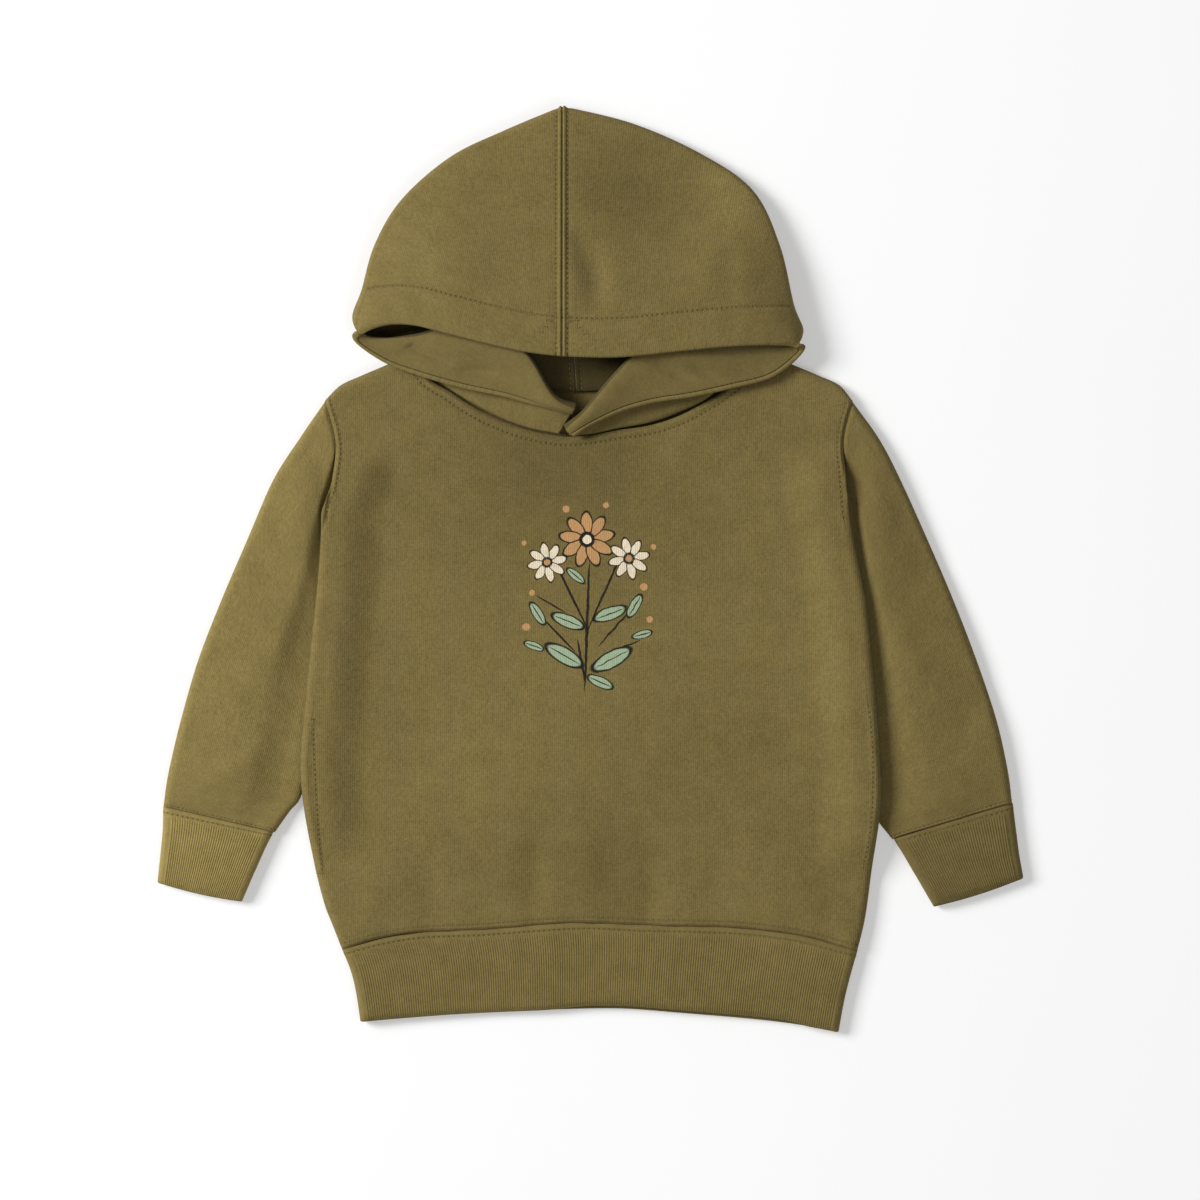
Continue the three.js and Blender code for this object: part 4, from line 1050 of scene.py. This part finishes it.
@dataclass
class Sleeve:
    """A sleeve and its cuff. side is -1 for the left and 1 for the right."""

    side: int
    sections: tuple
    armhole: tuple
    cuff: tuple
    creases: tuple[Crease, ...]
    # Painted light: the sleeve's and the cuff's colour are scaled by these, lighter on the side toward the window
    # and darker away from it.
    painted_light: float
    cuff_painted_light: float
    width: float = 85.0
    length: float = 250.0
    cuff_width: float = 62.0
    cuff_length: float = 42.0
    rib_pitch: float = 1.4
    cut: tuple[float, float] = (0.178, 0.262)
    area: float = 0.0290
    cuff_cut: tuple[float, float] = (0.128, 0.044)
    cuff_area: float = 0.0052

    def build_sleeve(self, word: str) -> tuple[bpy.types.Object, bpy.types.Object]:
        """Makes the sleeve and its stitches."""
        outer_x, outer_y, inner_x, inner_y = edges(self.sections)[:4]
        table = np.array(self.sections, dtype=float)
        bow, under, drop = (Line(list(enumerate(table[:, k])), straight=True) for k in range(4, 7))
        hidden = Line(self.armhole)
        edge = left_edge if self.side < 0 else right_edge
        last = float(len(table) - 1)

        def plan(u: Array, v: Array, side: Array) -> tuple[Array, Array]:
            """Plan of the sleeve at a share across and down."""
            s = v * last
            x = outer_x(s) + (inner_x(s) - outer_x(s)) * u
            y = outer_y(s) + (inner_y(s) - outer_y(s)) * u
            arm_y = outer_y(0.0) + (inner_y(0.0) - outer_y(0.0)) * u
            arm_x = np.where(arm_y > 56, edge(np.clip(arm_y, 56, EDGE_HIGH)), hidden(arm_y))
            straight = outer_x(0.0) + (inner_x(0.0) - outer_x(0.0)) * u
            return x + bow(s) * (arm_x - straight) + self.side * 0.1 * (1 - smooth(s, 0, 1)), y

        def loft(u: Array, v: Array) -> Array:
            """Height of the sleeve."""
            s = v * last
            flat = smooth((u - drop(s) + 0.25) / 0.25, 0, 1) * under(s)
            return SLEEVE_LOFT + (SLEEVE_UNDER - SLEEVE_LOFT) * flat

        def raised(u: Array, v: Array, x: Array, y: Array) -> tuple[Array, Array]:
            """Folds on top of the sleeve, its soft crown, and the gathers at the cuff."""
            s = v * last
            clear = 1 - smooth((u - drop(s) + 0.3) / 0.2, 0, 1) * under(s)
            up = (1 - v) * self.length
            gather = np.exp(-up / 8.0) * (0.5 * ripple(u * 80, 0 * v, 3.0, 0.6)
                                          + 0.35 * ripple(u * 80, 0 * v, 6.5, 1.1))
            crown = 1.6 * np.sin(np.pi * clamp01(u / 0.9)) * smooth(v, 0.02, 0.2) * (1 - smooth(v, 0.9, 1.0))
            swell = 0.6 * ripple(x, y, 21.0, 0.4 + self.side) + 0.18 * ripple(x, y, 9.0, 1.4)
            folds = (relief(self.creases, x, y) + swell + crown) * clear * smooth(s, 0, 1)
            return folds + gather, welt(up) * 0.9 - 1.1 * hump(v * self.length, 0, 1.6)

        rows = np.concatenate([[0, 0.003, 0.007, 0.012], np.linspace(0.018, 0.965, 128),
                               [0.972, 0.978, 0.983, 0.987, 0.9905, 0.994, 0.997, 1.0]])
        tube = FlatTube(f"sleeve_{word}_cloth", FLEECE, self.width, self.length, 56, 14, rows, self.painted_light)
        return tube.build(plan, loft, raised, self.length - SEAM_ROW)

    def build_cuff(self, word: str) -> tuple[bpy.types.Object, bpy.types.Object]:
        """Makes the ribbed cuff and its stitches."""
        ox, oy, ix, iy = edges(self.cuff)
        last = float(len(self.cuff) - 1)

        def plan(u: Array, v: Array, side: Array) -> tuple[Array, Array]:
            """Plan of the cuff; its lower layer shows a little past the hem and the inner edge."""
            s = v * last
            bulge = 1.6 * np.sin(np.pi * v) * (2 * u - 1)
            x = ox(s) + (ix(s) - ox(s)) * u
            y = oy(s) + (iy(s) - oy(s)) * u
            under = (side < 0) * smooth(v, 0.5, 1)
            tuck = 0.45 * (1 - smooth(v, 0, 0.2))
            sag = 1.2 * np.sin(np.pi * u) * smooth(v, 0, 1)
            return x - self.side * bulge * 0.4, y + tuck - sag - 0.7 * under

        def raised(u: Array, v: Array, x: Array, y: Array) -> tuple[Array, Array]:
            """Ribs, the turned seam and the rounded hem."""
            down = v * self.cuff_length
            rib = 0.2 * np.cos(u * self.cuff_width * 2 * np.pi / self.rib_pitch) * smooth(down, 4.0, 6.0)
            crown = 0.9 * np.sin(np.pi * u) * np.sin(np.pi * clamp01(v * 0.9 + 0.1))
            hem = 1.5 * hump(self.cuff_length - down, 0, 1.8)
            return crown, rib - 1.0 * hump(down, 0, 1.3) - 0.25 * hump(down, SEAM_ROW, 0.8) - hem

        rows = np.array([0, 0.02, 0.045, 0.07, 0.095, 0.12, 0.15, 0.2] + list(np.linspace(0.26, 0.93, 13))
                        + [0.96, 0.98, 1.0])
        across = int(self.cuff_width * 3)
        tube = FlatTube(f"cuff_{word}_rib", BAND, self.cuff_width, self.cuff_length, across, 30, rows,
                        self.cuff_painted_light)
        return tube.build(plan, lambda u, v: BAND_LOFT + 0 * u, raised, SEAM_ROW)

    def build(self, fleece: bpy.types.Material, rib: bpy.types.Material, thread: bpy.types.Material) -> None:
        """Makes the sleeve and the cuff."""
        word = "left" if self.side < 0 else "right"
        sleeve, sleeve_rows = self.build_sleeve(word)
        cuff, cuff_rows = self.build_cuff(word)
        dress([sleeve], fleece)
        dress([cuff], rib)
        dress([sleeve_rows, cuff_rows], thread)
        declare(sleeve, f"sleeve_{word}", [sleeve_rows])
        declare(cuff, f"cuff_{word}", [cuff_rows])
        LOG.info("%s and %s", sleeve.name, cuff.name)


@dataclass
class Waistband:
    """The doubled rib band along the foot of the body."""

    pitch: float = 1.4
    width: float = 296.0
    length: float = 50.0
    hem_lift: float = 1.7
    cut: tuple[float, float] = (0.600, 0.052)
    area: float = 0.0295

    def plan(self, u: Array, v: Array, side: Array) -> tuple[Array, Array]:
        """Plan of the band; its front hem sits a little higher than its back one over the middle."""
        left = Line([(d, a) for d, a, _ in BAND_EDGE])
        right = Line([(d, b) for d, _, b in BAND_EDGE])
        x = left(v) + (right(v) - left(v)) * u
        seam = waist_seam(left(0.0) + (right(0.0) - left(0.0)) * u) - JOINED / 2
        hem = hem_line(left(1.0) + (right(1.0) - left(1.0)) * u)
        raised = (side > 0) * smooth(x, -30, 0) * (1 - smooth(x, 112, 128)) * smooth(v, 0.6, 1)
        return x, seam + (hem - seam) * v + self.hem_lift * raised

    def raised(self, u: Array, v: Array, x: Array, y: Array) -> tuple[Array, Array]:
        """Ribs, gathers under the seam and the rounded hem."""
        down = v * self.length
        rib = 0.22 * np.cos((u * self.width + 0.35 * ripple(x, y, 26.0, 1.0)) * 2 * np.pi / self.pitch)
        gather = np.exp(-down / 9.0) * 0.45 * ripple(u * 290, 0 * v, 4.0, 0.9)
        swell = 0.6 * ripple(x, y, 24.0, 2.2) + 0.25 * ripple(x, 0.2 * y, 8.0, 0.6)
        hem = 1.6 * hump(self.length - down, 0, 1.8)
        turned_in = -1.1 * hump(down, 0, 1.3) - 0.25 * hump(down, SEAM_ROW, 0.8) - hem
        return gather + swell, rib * smooth(down, 4.0, 6.0) + turned_in

    def build(self, rib: bpy.types.Material, thread: bpy.types.Material) -> None:
        """Makes the band."""
        rows = np.array([0, 0.018, 0.038, 0.06, 0.085, 0.11, 0.14, 0.18] + list(np.linspace(0.24, 0.93, 12))
                        + [0.96, 0.98, 1.0])
        across = int(self.width / self.pitch * 4)
        # Painted light: the band's colour is scaled by 1.02, a little lighter.
        tube = FlatTube("waistband_rib", BAND, self.width, self.length, across, 60, rows, 1.02)
        band, stitches = tube.build(self.plan, lambda u, v: BAND_LOFT + 0 * u, self.raised, SEAM_ROW)
        dress([band], rib)
        dress([stitches], thread)
        declare(band, "waistband", [stitches])
        LOG.info("waistband: %d points", len(band.data.vertices))


# ---- The hood


ROLLED, STRAIGHT, HOODED = "rolled", "straight", "hooded"
HOOD_LEFT = (
    # kind, base x y z, turn x y z, rim x y z
    (ROLLED, -18, 78.2, 7.6, -7, 95.5, 13, -11, 92, 13),
    (ROLLED, -35, 81.6, 7.6, -20.5, 101.5, 15.5, -28.5, 96, 13.5),
    (ROLLED, -52, 87.8, 7.6, -36.5, 125.5, 17, -48, 101, 13),
    (ROLLED, -75.5, 100.6, 7.6, -59.5, 143.5, 17, -73.5, 106, 12),
    (ROLLED, -91, 111.5, 7.6, -83, 141, 13, -100, 113.5, 11),
    (ROLLED, -96.3, 119, 7.8, -102, 136, 11, -119, 121, 10),
    (STRAIGHT, -100, 128.5, 5, 0, 0, 0, -136, 133, 11.5),
    (HOODED, -92, 124, 2, -137.5, 144, 14.5, -132, 138.5, 16.5),
    (HOODED, -81, 118.5, 0.8, -132, 162, 16, -119, 142, 20),
    (HOODED, -66.5, 114, 0, -124.5, 188, 14, -102.5, 141.5, 22.5),
    (HOODED, -49.5, 110.2, 0, -109, 214, 12, -84, 137, 24),
    (HOODED, -32, 107.4, 0, -81, 238.5, 11, -58, 130.5, 25),
    (HOODED, -18.5, 106.7, 0, -49.5, 254, 10, -36.5, 126, 26),
    (HOODED, -8, 106.2, 0, -16, 268, 10, -16, 123.5, 26),
)
HOOD_RIGHT = (
    (ROLLED, -12, 77.5, 7.6, -14, 84, 10.5, -10, 77.5, 11.2),
    (ROLLED, 0, 78, 7.6, -3.5, 92, 14.5, 1, 84.5, 13),
    (ROLLED, 17.5, 81.6, 7.6, 9.5, 107.5, 17, 18.5, 92.5, 13.5),
    (ROLLED, 35, 84.9, 7.6, 25, 124.5, 17, 37.5, 97.5, 13),
    (ROLLED, 52, 90.9, 7.6, 40.5, 141.5, 16, 58, 100.5, 12.5),
    (ROLLED, 70, 100.4, 7.6, 64, 143.5, 14, 81, 105.5, 11),
    (ROLLED, 86.8, 118.3, 8, 92, 134, 11, 105.5, 112.5, 10.5),
    (STRAIGHT, 91.2, 129.4, 5.6, 0, 0, 0, 123, 127, 11.6),
    (HOODED, 84, 124, 2, 123.5, 137, 14.5, 119, 130.5, 16.5),
    (HOODED, 72.5, 119.5, 0.8, 118, 153, 16, 107.5, 130.5, 20),
    (HOODED, 58, 115, 0, 110, 187, 14, 94, 130, 22.5),
    (HOODED, 40.5, 110.8, 0, 94.5, 219, 12, 77, 129, 24),
    (HOODED, 23, 108.2, 0, 64, 240.5, 11, 52, 126.5, 25),
    (HOODED, 6, 106.8, 0, 24.5, 258, 10, 16, 123, 26),
    (HOODED, -8, 106.2, 0, -16, 268, 10, -16, 123.5, 26),
)
HOOD_CREASES = (
    Crease(-9, 196, 1, 172, 6, -2.4), Crease(1, 174, 2, 146, 6, -2.2), Crease(14, 186, 17, 150, 7, 1.0),
    Crease(-10, 236, 60, 192, 16, -2.2), Crease(84, 214, 62, 160, 14, 1.8),
    Crease(-100, 190, -70, 150, 16, 1.4), Crease(-70, 226, -40, 170, 16, -1.6),
    Crease(-34, 144, -40, 138, 8, -1.2), Crease(14, 142, 20, 134, 9, -1.2),
    Crease(88, 200, 92, 150, 8, 0.9),
)
# Painted light on the hood's outside: painted shade in the broad hollow right of the centre and in the fold beside
# the centre seam, a painted highlight on the right of the crown, and a little painted shade and light on the left
# half.
HOOD_PAINTED_LIGHT = (
    Crease(-2, 236, 52, 196, 28, -0.2), Crease(70, 232, 98, 190, 15, 0.36),
    Crease(-60, 220, -40, 160, 30, -0.08), Crease(-6, 190, 4, 150, 7, -0.2),
    Crease(-104, 170, -70, 150, 20, 0.08),
)
FLAP_CREASES = (
    Crease(-108.5, 130, -81, 119.5, 2.6, -1.9), Crease(-74, 115.4, -54, 114.8, 2.6, -1.5),
    Crease(34.8, 119.5, 63.8, 106.7, 2.8, -1.9), Crease(58, 118.3, 75.4, 107.9, 2.6, -1.6),
    Crease(104.4, 127, 101.5, 115.4, 2.8, -2.0), Crease(-124.7, 138.6, -123.5, 128.2, 2.4, -2.0),
    Crease(-120, 139.8, -110.2, 127, 2.4, -1.7), Crease(-92, 126, -66, 124, 5.0, 1.4),
    Crease(48, 124, 80, 118, 5.0, 1.4),
)


@dataclass
class HoodHalf:
    """One half of the hood, shell and lining. side is -1 for the left half and 1 for the right."""

    side: int
    sections: tuple
    area: float
    lower: int = 16
    bend: int = 9
    upper: int = 42
    split: int = 10
    lining_back: float = 2.0
    lining_share: float = 0.98
    overlap: float = 1.2
    base_height: float = 2.4
    cut: tuple[float, float] = (0.235, 0.345)
    lining_cut: tuple[float, float] = (0.235, 0.343)

    def section(self, row: tuple) -> Array:
        """The shell's outside along one section, from base to rim, in mm."""
        kind, bx, by, bz, tx, ty, tz, rx, ry, rz = row
        if kind == HOODED:
            by = float(neck_back(bx)) - self.overlap
        base, rim = np.array([bx, by, bz], float), np.array([rx, ry, rz], float)
        if kind == STRAIGHT:
            first = np.linspace(0, CORNER_SHARE, self.lower)
            rest = CORNER_SHARE + (1 - CORNER_SHARE) * np.linspace(0, 1, self.bend + self.upper + 1)[1:]
            return base + (rim - base) * np.concatenate([first, rest])[:, None]
        rolled = kind == ROLLED
        out = np.array([tx - bx, ty - by, 0.0]) / math.hypot(tx - bx, ty - by)
        home = np.array([tx - rx, ty - ry, 0.0]) / math.hypot(tx - rx, ty - ry)
        radius = HOOD_ROLL if rolled else tz / 2
        reach = HOOD_ROLL if rolled else SIDE_ROUND
        turn = np.array([tx, ty, tz if rolled else radius], float)
        if rolled:
            turn = turn - out * HOOD_CLOTH
        start = turn - out * reach
        start[2] = turn[2] - radius
        points = [base + (start - base) * np.linspace(0, 1, self.lower)[:, None]]
        for angle in np.radians(np.linspace(-90, 90, self.bend + 2)[1:-1]):
            way = out if rolled or angle < 0 else home
            point = turn + way * reach * (math.cos(angle) - 1)
            point[2] = turn[2] + radius * math.sin(angle)
            points.append(point[None, :])
        end = turn - (out if rolled else home) * reach
        end[2] = turn[2] + radius
        t = np.linspace(0, 1, self.upper)
        leg = end + (rim - end) * t[:, None]
        if not rolled:
            leg[:, 2] = end[2] + (rim[2] - end[2]) * np.sin(t * np.pi / 2) ** 0.9
        points.append(leg)
        made = np.concatenate(points)
        if not rolled:
            away = np.hypot(made[:, 0] - bx, made[:, 1] - by)
            under = np.arange(len(made)) < self.lower
            made[:, 2] += under * max(self.base_height - bz, 0.0) * np.exp(-((away / 3.0) ** 4))
        return made

    def grid(self) -> Array:
        """The shell's outside as rows of sections, smooth from one to the next."""
        made = [self.section(row) for row in self.sections]
        rows = []
        for i in range(len(made) - 1):
            a, b = made[max(i - 1, 0)], made[i]
            c, d = made[i + 1], made[min(i + 2, len(made) - 1)]
            m, n = (c - a) / 2, (d - b) / 2
            steps = list(np.arange(self.split) / self.split)
            if i == len(made) - 2:
                steps = steps[:-1] + [0.86, 0.885, 0.905, 0.922, 0.938, 0.953, 0.966, 0.978, 0.99]
            for t in steps:
                rows.append((2 * t**3 - 3 * t**2 + 1) * b + (t**3 - 2 * t**2 + t) * m
                            + (3 * t**2 - 2 * t**3) * c + (t**3 - t**2) * n)
        rows.append(made[-1])
        grid = np.stack(rows)
        rolled = sum(row[0] == ROLLED for row in self.sections)
        top = slice(self.lower + self.bend, None)
        fade = np.sin(np.linspace(0, 1, self.upper) * np.pi) ** 0.7
        for part, creases in ((slice(0, (rolled - 1) * self.split), FLAP_CREASES),
                              (slice((rolled + 1) * self.split, None), HOOD_CREASES)):
            leg = grid[part, top]
            leg[:, :, 2] += relief(creases, leg[:, :, 0], leg[:, :, 1]) * fade
        grid[-1, :, 0] += self.side * JOINED / 2
        grid[:, :, 2] = np.maximum(grid[:, :, 2], 0.0)
        return grid

    def directions(self, grid: Array) -> Array:
        """Unit directions into the cloth, evened out so that the pinched corner stays clean."""
        way = np.cross(np.gradient(grid, axis=1), np.gradient(grid, axis=0))
        way[-1, :, 0] = 0.0
        way /= np.maximum(np.linalg.norm(way, axis=2, keepdims=True), 1e-9)
        way *= 1.0 if way[-1, 0, 2] > 0 else -1.0
        first, last = way[0].copy(), way[-1].copy()
        for _ in range(CORNER_EASING):
            wide = np.pad(way, ((1, 1), (1, 1), (0, 0)), mode="edge")
            way = 2 * way + wide[:-2, 1:-1] + wide[2:, 1:-1] + wide[1:-1, :-2] + wide[1:-1, 2:]
            way /= np.maximum(np.linalg.norm(way, axis=2, keepdims=True), 1e-9)
            way[0], way[-1] = first, last
        return way

    def lip(self, grid: Array, inward: Array) -> tuple[Array, Array]:
        """Turns the shell round the mouth's edge and over the lining's.

        Args:
            grid: the shell's outside.
            inward: unit directions into the cloth.

        Returns:
            The turned points of the outer and of the inner face.
        """
        rim, into = grid[:, -1], inward[:, -1]
        on = rim - grid[:, -2]
        on /= np.maximum(np.linalg.norm(on, axis=1, keepdims=True), 1e-9)
        radius = HOOD_CLOTH / 2
        middle = rim + into * radius
        outer, inner = [], []
        for angle in np.radians((30, 60, 90, 120, 150, 180)):
            way = on * math.sin(angle) - into * math.cos(angle)
            outer.append(middle + way * radius)
            inner.append(middle + way * 0.3)
        outer.append(middle + into * radius - on * 1.2)
        inner.append(middle + into * 0.45 - on * 1.2)
        return np.stack(outer, axis=1), np.stack(inner, axis=1)

    def lining_faces(self, grid: Array, inward: Array, rim: Array, proud: Array) -> tuple[Array, Array]:
        """Lays the lining inside the shell, a little short of the mouth's edge.

        Args:
            grid: the shell's outside.
            inward: unit directions into the cloth.
            rim: distance from the mouth's edge along each section.
            proud: how far the seams stand out.

        Returns:
            The lining's outer and inner face.
        """
        leg = self.lower + self.bend
        face = grid + inward * (SHELL + SEAM)
        back = grid + inward * (HOOD_CLOTH + 0.7 * proud[:, :, None])
        for i in range(len(grid)):
            run = rim[i, 0] - rim[i]
            keep = 1 - self.lining_back / max(run[-1] - run[leg], 3.0)
            new = np.where(run > run[leg], run[leg] + (run - run[leg]) * keep, run)
            for k in range(3):
                face[i, :, k] = np.interp(new, run, face[i, :, k])
                back[i, :, k] = np.interp(new, run, back[i, :, k])
        return face, back

    def stitch_runs(self, points: Array, out: Array, hem: Array, centre: Array) -> list[tuple[Array, Array]]:
        """Follows the hem row and the row beside the centre seam.

        Args:
            points: the face that is sewn.
            out: its outward directions.
            hem: distance from the mouth's edge.
            centre: distance from the centre seam.

        Returns:
            For each row its points and the outward direction at each.
        """
        top = slice(self.lower + self.bend, None)
        sewn = [i for i in range(len(points)) if centre[i].mean() > CENTRE_ROW]
        near = {i: np.minimum.accumulate(hem[i, top]) for i in sewn}
        sewn = [i for i in sewn if near[i][0] >= HEM_ROW]
        hem_run = tuple(np.array([[np.interp(-HEM_ROW, -near[i], part[i, top, k]) for k in range(3)]
                                  for i in sewn]) for part in (points, out))
        seam_run = tuple(np.array([[np.interp(-CENTRE_ROW, -centre[:, j], part[:, j, k]) for k in range(3)]
                                   for j in range(points.shape[1])]) for part in (points, out))
        return [hem_run, seam_run]

    def build(self, fleece: bpy.types.Material, jersey: bpy.types.Material,
              thread: bpy.types.Material) -> None:
        """Makes the shell and the lining.

        Args:
            fleece: the shell's material.
            jersey: the lining's material.
            thread: the stitches' material.
        """
        word = "left" if self.side < 0 else "right"
        leg = self.lower + self.bend
        grid = self.grid()
        inward = self.directions(grid)
        across = np.linalg.norm(np.diff(grid, axis=0), axis=2)
        centre = np.concatenate([np.cumsum(across[::-1], axis=0)[::-1], np.zeros((1, grid.shape[1]))])
        along = np.linalg.norm(np.diff(grid, axis=1), axis=2)
        rim = np.concatenate([np.cumsum(along[:, ::-1], axis=1)[:, ::-1], np.zeros((len(grid), 1))], axis=1)
        edge = grid[:, -1]
        hem = np.min(np.linalg.norm(grid[:, :, None] - edge[None, None], axis=3), axis=2)
        hem[:, :leg] = FAR
        seam = 0.6 * hump(centre, 1.3, 0.9) - 0.7 * hump(centre, 0.0, 0.4) - 0.35 * hump(centre, CENTRE_ROW, 0.9)
        proud = seam - 0.3 * hump(hem, HEM_ROW, 1.0) + 0.2 * hump(hem, HEM_ROW - 3.5, 2.5)
        lies = np.repeat(np.mean(centre, axis=1)[:, None], grid.shape[1], axis=1)
        flat = np.stack([lies, rim], axis=2)
        marks = nearest([(hem - HEM_ROW, centre), (centre - CENTRE_ROW, rim)], rim.shape)
        # Painted light: the hood's colour is scaled by the painted shade and highlights above, only where the shell
        # stands more than 9 mm high.
        marks["painted_light"] = 1.0 + relief(HOOD_PAINTED_LIGHT, grid[:, :, 0], grid[:, :, 1]) * (grid[:, :, 2] > 9)
        # The lining keeps the hood's painted light, and its lower part, down inside the hood's mouth, gets painted
        # shade at half brightness.
        inside = marks["painted_light"].copy()
        inside[:, :leg] = 0.5

        outer = grid - inward * proud[:, :, None]
        lip_out, lip_in = self.lip(outer, inward)
        turns = lip_out.shape[1]
        more = {key: np.concatenate([v, np.repeat(v[:, -1:], turns, axis=1)], axis=1)
                for key, v in marks.items()}
        wide = np.concatenate([flat, np.repeat(flat[:, -1:], turns, axis=1)], axis=1)
        shell = Cloth(f"hood_{word}_shell", np.concatenate([outer, lip_out], axis=1), wide, more)
        made = shell.closed(np.concatenate([grid + inward * SHELL, lip_in], axis=1))
        face, back = self.lining_faces(grid, inward, rim, proud)
        lining = Cloth(f"hood_{word}_lining", face, flat, marks | {"painted_light": inside}).closed(back)

        shell_rows = StitchRow(f"hood_{word}_shell_stitches").build(
            self.stitch_runs(outer, -inward, hem, centre))
        lining_rows = StitchRow(f"hood_{word}_lining_stitches").build(
            self.stitch_runs(back, inward, hem, centre))
        dress([made], fleece)
        dress([lining], jersey)
        dress([shell_rows, lining_rows], thread)
        declare(made, f"hood_{word}", [shell_rows])
        declare(lining, f"hood_lining_{word}",
                [lining_rows])
        LOG.info("%s: %d points", made.name, len(made.data.vertices))


@dataclass
class PocketBag:
    """The two plain sheets of a pocket bag, inside the body. side is -1 for the left pocket."""

    side: int
    foot: float = -180.0
    height: float = 105.0
    inset: float = 6.0
    width: float = 80.0
    cut: tuple[float, float] = (0.086, 0.105)
    area: float = 0.0081

    def build(self, jersey: bpy.types.Material) -> None:
        """Makes both sheets."""
        word = "left" if self.side < 0 else "right"
        edge = left_edge if self.side < 0 else right_edge
        u, v = np.meshgrid(np.linspace(0, 1, 24), np.linspace(0, 1, 30))
        y = self.foot + self.height * v
        narrow = 22 * (1 - np.sqrt(1 - np.abs(2 * v - 1) ** 3))
        x = edge(y) - self.side * (self.inset + (self.width - narrow) * u)
        marks = {"sewn": np.full_like(x, FAR), "run": np.zeros_like(x), "painted_light": np.ones_like(x)}
        for part, facing in (("front", 1.0), ("back", -1.0)):
            middle = lift(x, y) + BODY_LOFT / 2
            points, inner = (np.stack([x, y, middle + facing * (0.2 + d)], axis=2) for d in (POCKETING, 0.0))
            made = Cloth(f"pocket_{word}_{part}_sheet", points, points[:, :, :2], marks).closed(inner)
            dress([made], jersey)
            declare(made, f"pocket_{word}_{part}")
        LOG.info("pocket_%s: two sheets", word)


# ---- Table, light and camera


@dataclass
class Studio:
    """Pale table, soft window light from the left, and the camera straight above."""

    x: float = 5.8
    y: float = -18.0
    height: float = 3.0
    view: float = 0.696

    def build(self) -> None:
        """Makes the floor, the lights and the camera."""
        bm = bmesh.new()
        bmesh.ops.create_grid(bm, x_segments=2, y_segments=2, size=3.0)
        mesh = bpy.data.meshes.new("table")
        bm.to_mesh(mesh)
        bm.free()
        floor = bpy.data.objects.new("table", mesh)
        bpy.context.collection.objects.link(floor)
        for vert in mesh.vertices:
            vert.co.z = -0.0003
        sh = Shader("pale_table")
        place = sh.node("ShaderNodeTexCoord", output="Object")
        tone = sh.noise(place, 3.0, 2.0, 0.5, flat=False)
        sh.set(Base_Color=sh.blend(tone, (0.66, 0.66, 0.66, 1.0), (0.68, 0.68, 0.68, 1.0)), Roughness=0.9,
               Specular_IOR_Level=0.1, Emission_Color=(1.0, 1.0, 1.0, 1.0), Emission_Strength=0.32)
        mesh.materials.append(sh.material)
        self.lamp("window", (-3.4, 1.2, 2.4), 1.7, 232.0)
        self.lamp("fill", (1.6, -2.2, 3.4), 2.4, 34.0)
        world = bpy.data.worlds.new("room")
        world.use_nodes = True
        world.node_tree.nodes["Background"].inputs[0].default_value = (1.0, 1.0, 1.0, 1.0)
        world.node_tree.nodes["Background"].inputs[1].default_value = 0.22
        scene = bpy.context.scene
        scene.world = world
        scene.view_settings.view_transform = "Standard"
        scene.view_settings.look = "None"
        lens = bpy.data.cameras.new("camera")
        lens.sensor_width = 36.0
        lens.lens = 36.0 * self.height / self.view
        lens.clip_end = 20.0
        camera = bpy.data.objects.new("camera", lens)
        camera.location = (self.x * MM, self.y * MM, self.height)
        bpy.context.collection.objects.link(camera)
        scene.camera = camera

    def lamp(self, name: str, at: tuple[float, float, float], size: float, power: float) -> None:
        """Adds one soft square light aimed at the garment."""
        data = bpy.data.lights.new(name, "AREA")
        data.shape = "SQUARE"
        data.size = size
        data.energy = power
        lamp = bpy.data.objects.new(name, data)
        lamp.location = at
        lamp.rotation_euler = (-Vector(at)).to_track_quat("-Z", "Y").to_euler()
        bpy.context.collection.objects.link(lamp)


def dress(pieces: Sequence[bpy.types.Object], material: bpy.types.Material) -> None:
    """Puts one material on each piece."""
    for piece in pieces:
        piece.data.materials.clear()
        piece.data.materials.append(material)


def main() -> None:
    """Builds the hoodie piece by piece and sets the studio round it."""
    logging.basicConfig(level=logging.INFO, format="%(name)s: %(message)s")
    Studio().build()
    fleece = KnitFinish("olive_fleece", Knit.FLEECE).make()
    printed = KnitFinish("olive_fleece_printed", Knit.FLEECE).make(SprigPrint())
    jersey = KnitFinish("olive_lining", Knit.JERSEY, wale=0.9, course=0.8, tone=0.93).make()
    rib = KnitFinish("olive_rib", Knit.RIB, wale=0.7).make()
    thread = ThreadFinish().make()
    # The left sleeve and cuff are painted lighter and the right ones darker, as painted light from the window at
    # the left.
    sleeve_left = Sleeve(-1, SLEEVE_LEFT, ARMHOLE_LEFT, CUFF_LEFT, SLEEVE_CREASES_LEFT, painted_light=1.22, cuff_painted_light=1.5)
    sleeve_left.build(fleece, rib, thread)
    sleeve_right = Sleeve(1, SLEEVE_RIGHT, ARMHOLE_RIGHT, CUFF_RIGHT, SLEEVE_CREASES_RIGHT, painted_light=0.98, cuff_painted_light=0.85)
    sleeve_right.build(fleece, rib, thread)
    for side in (-1, 1):
        PocketBag(side).build(jersey)
    BodyPanels().build(printed, fleece, thread)
    Waistband().build(rib, thread)
    HoodHalf(-1, HOOD_LEFT, area=0.037).build(fleece, jersey, thread)
    HoodHalf(1, HOOD_RIGHT, area=0.0425).build(fleece, jersey, thread)


if __name__ == "__main__":
    main()
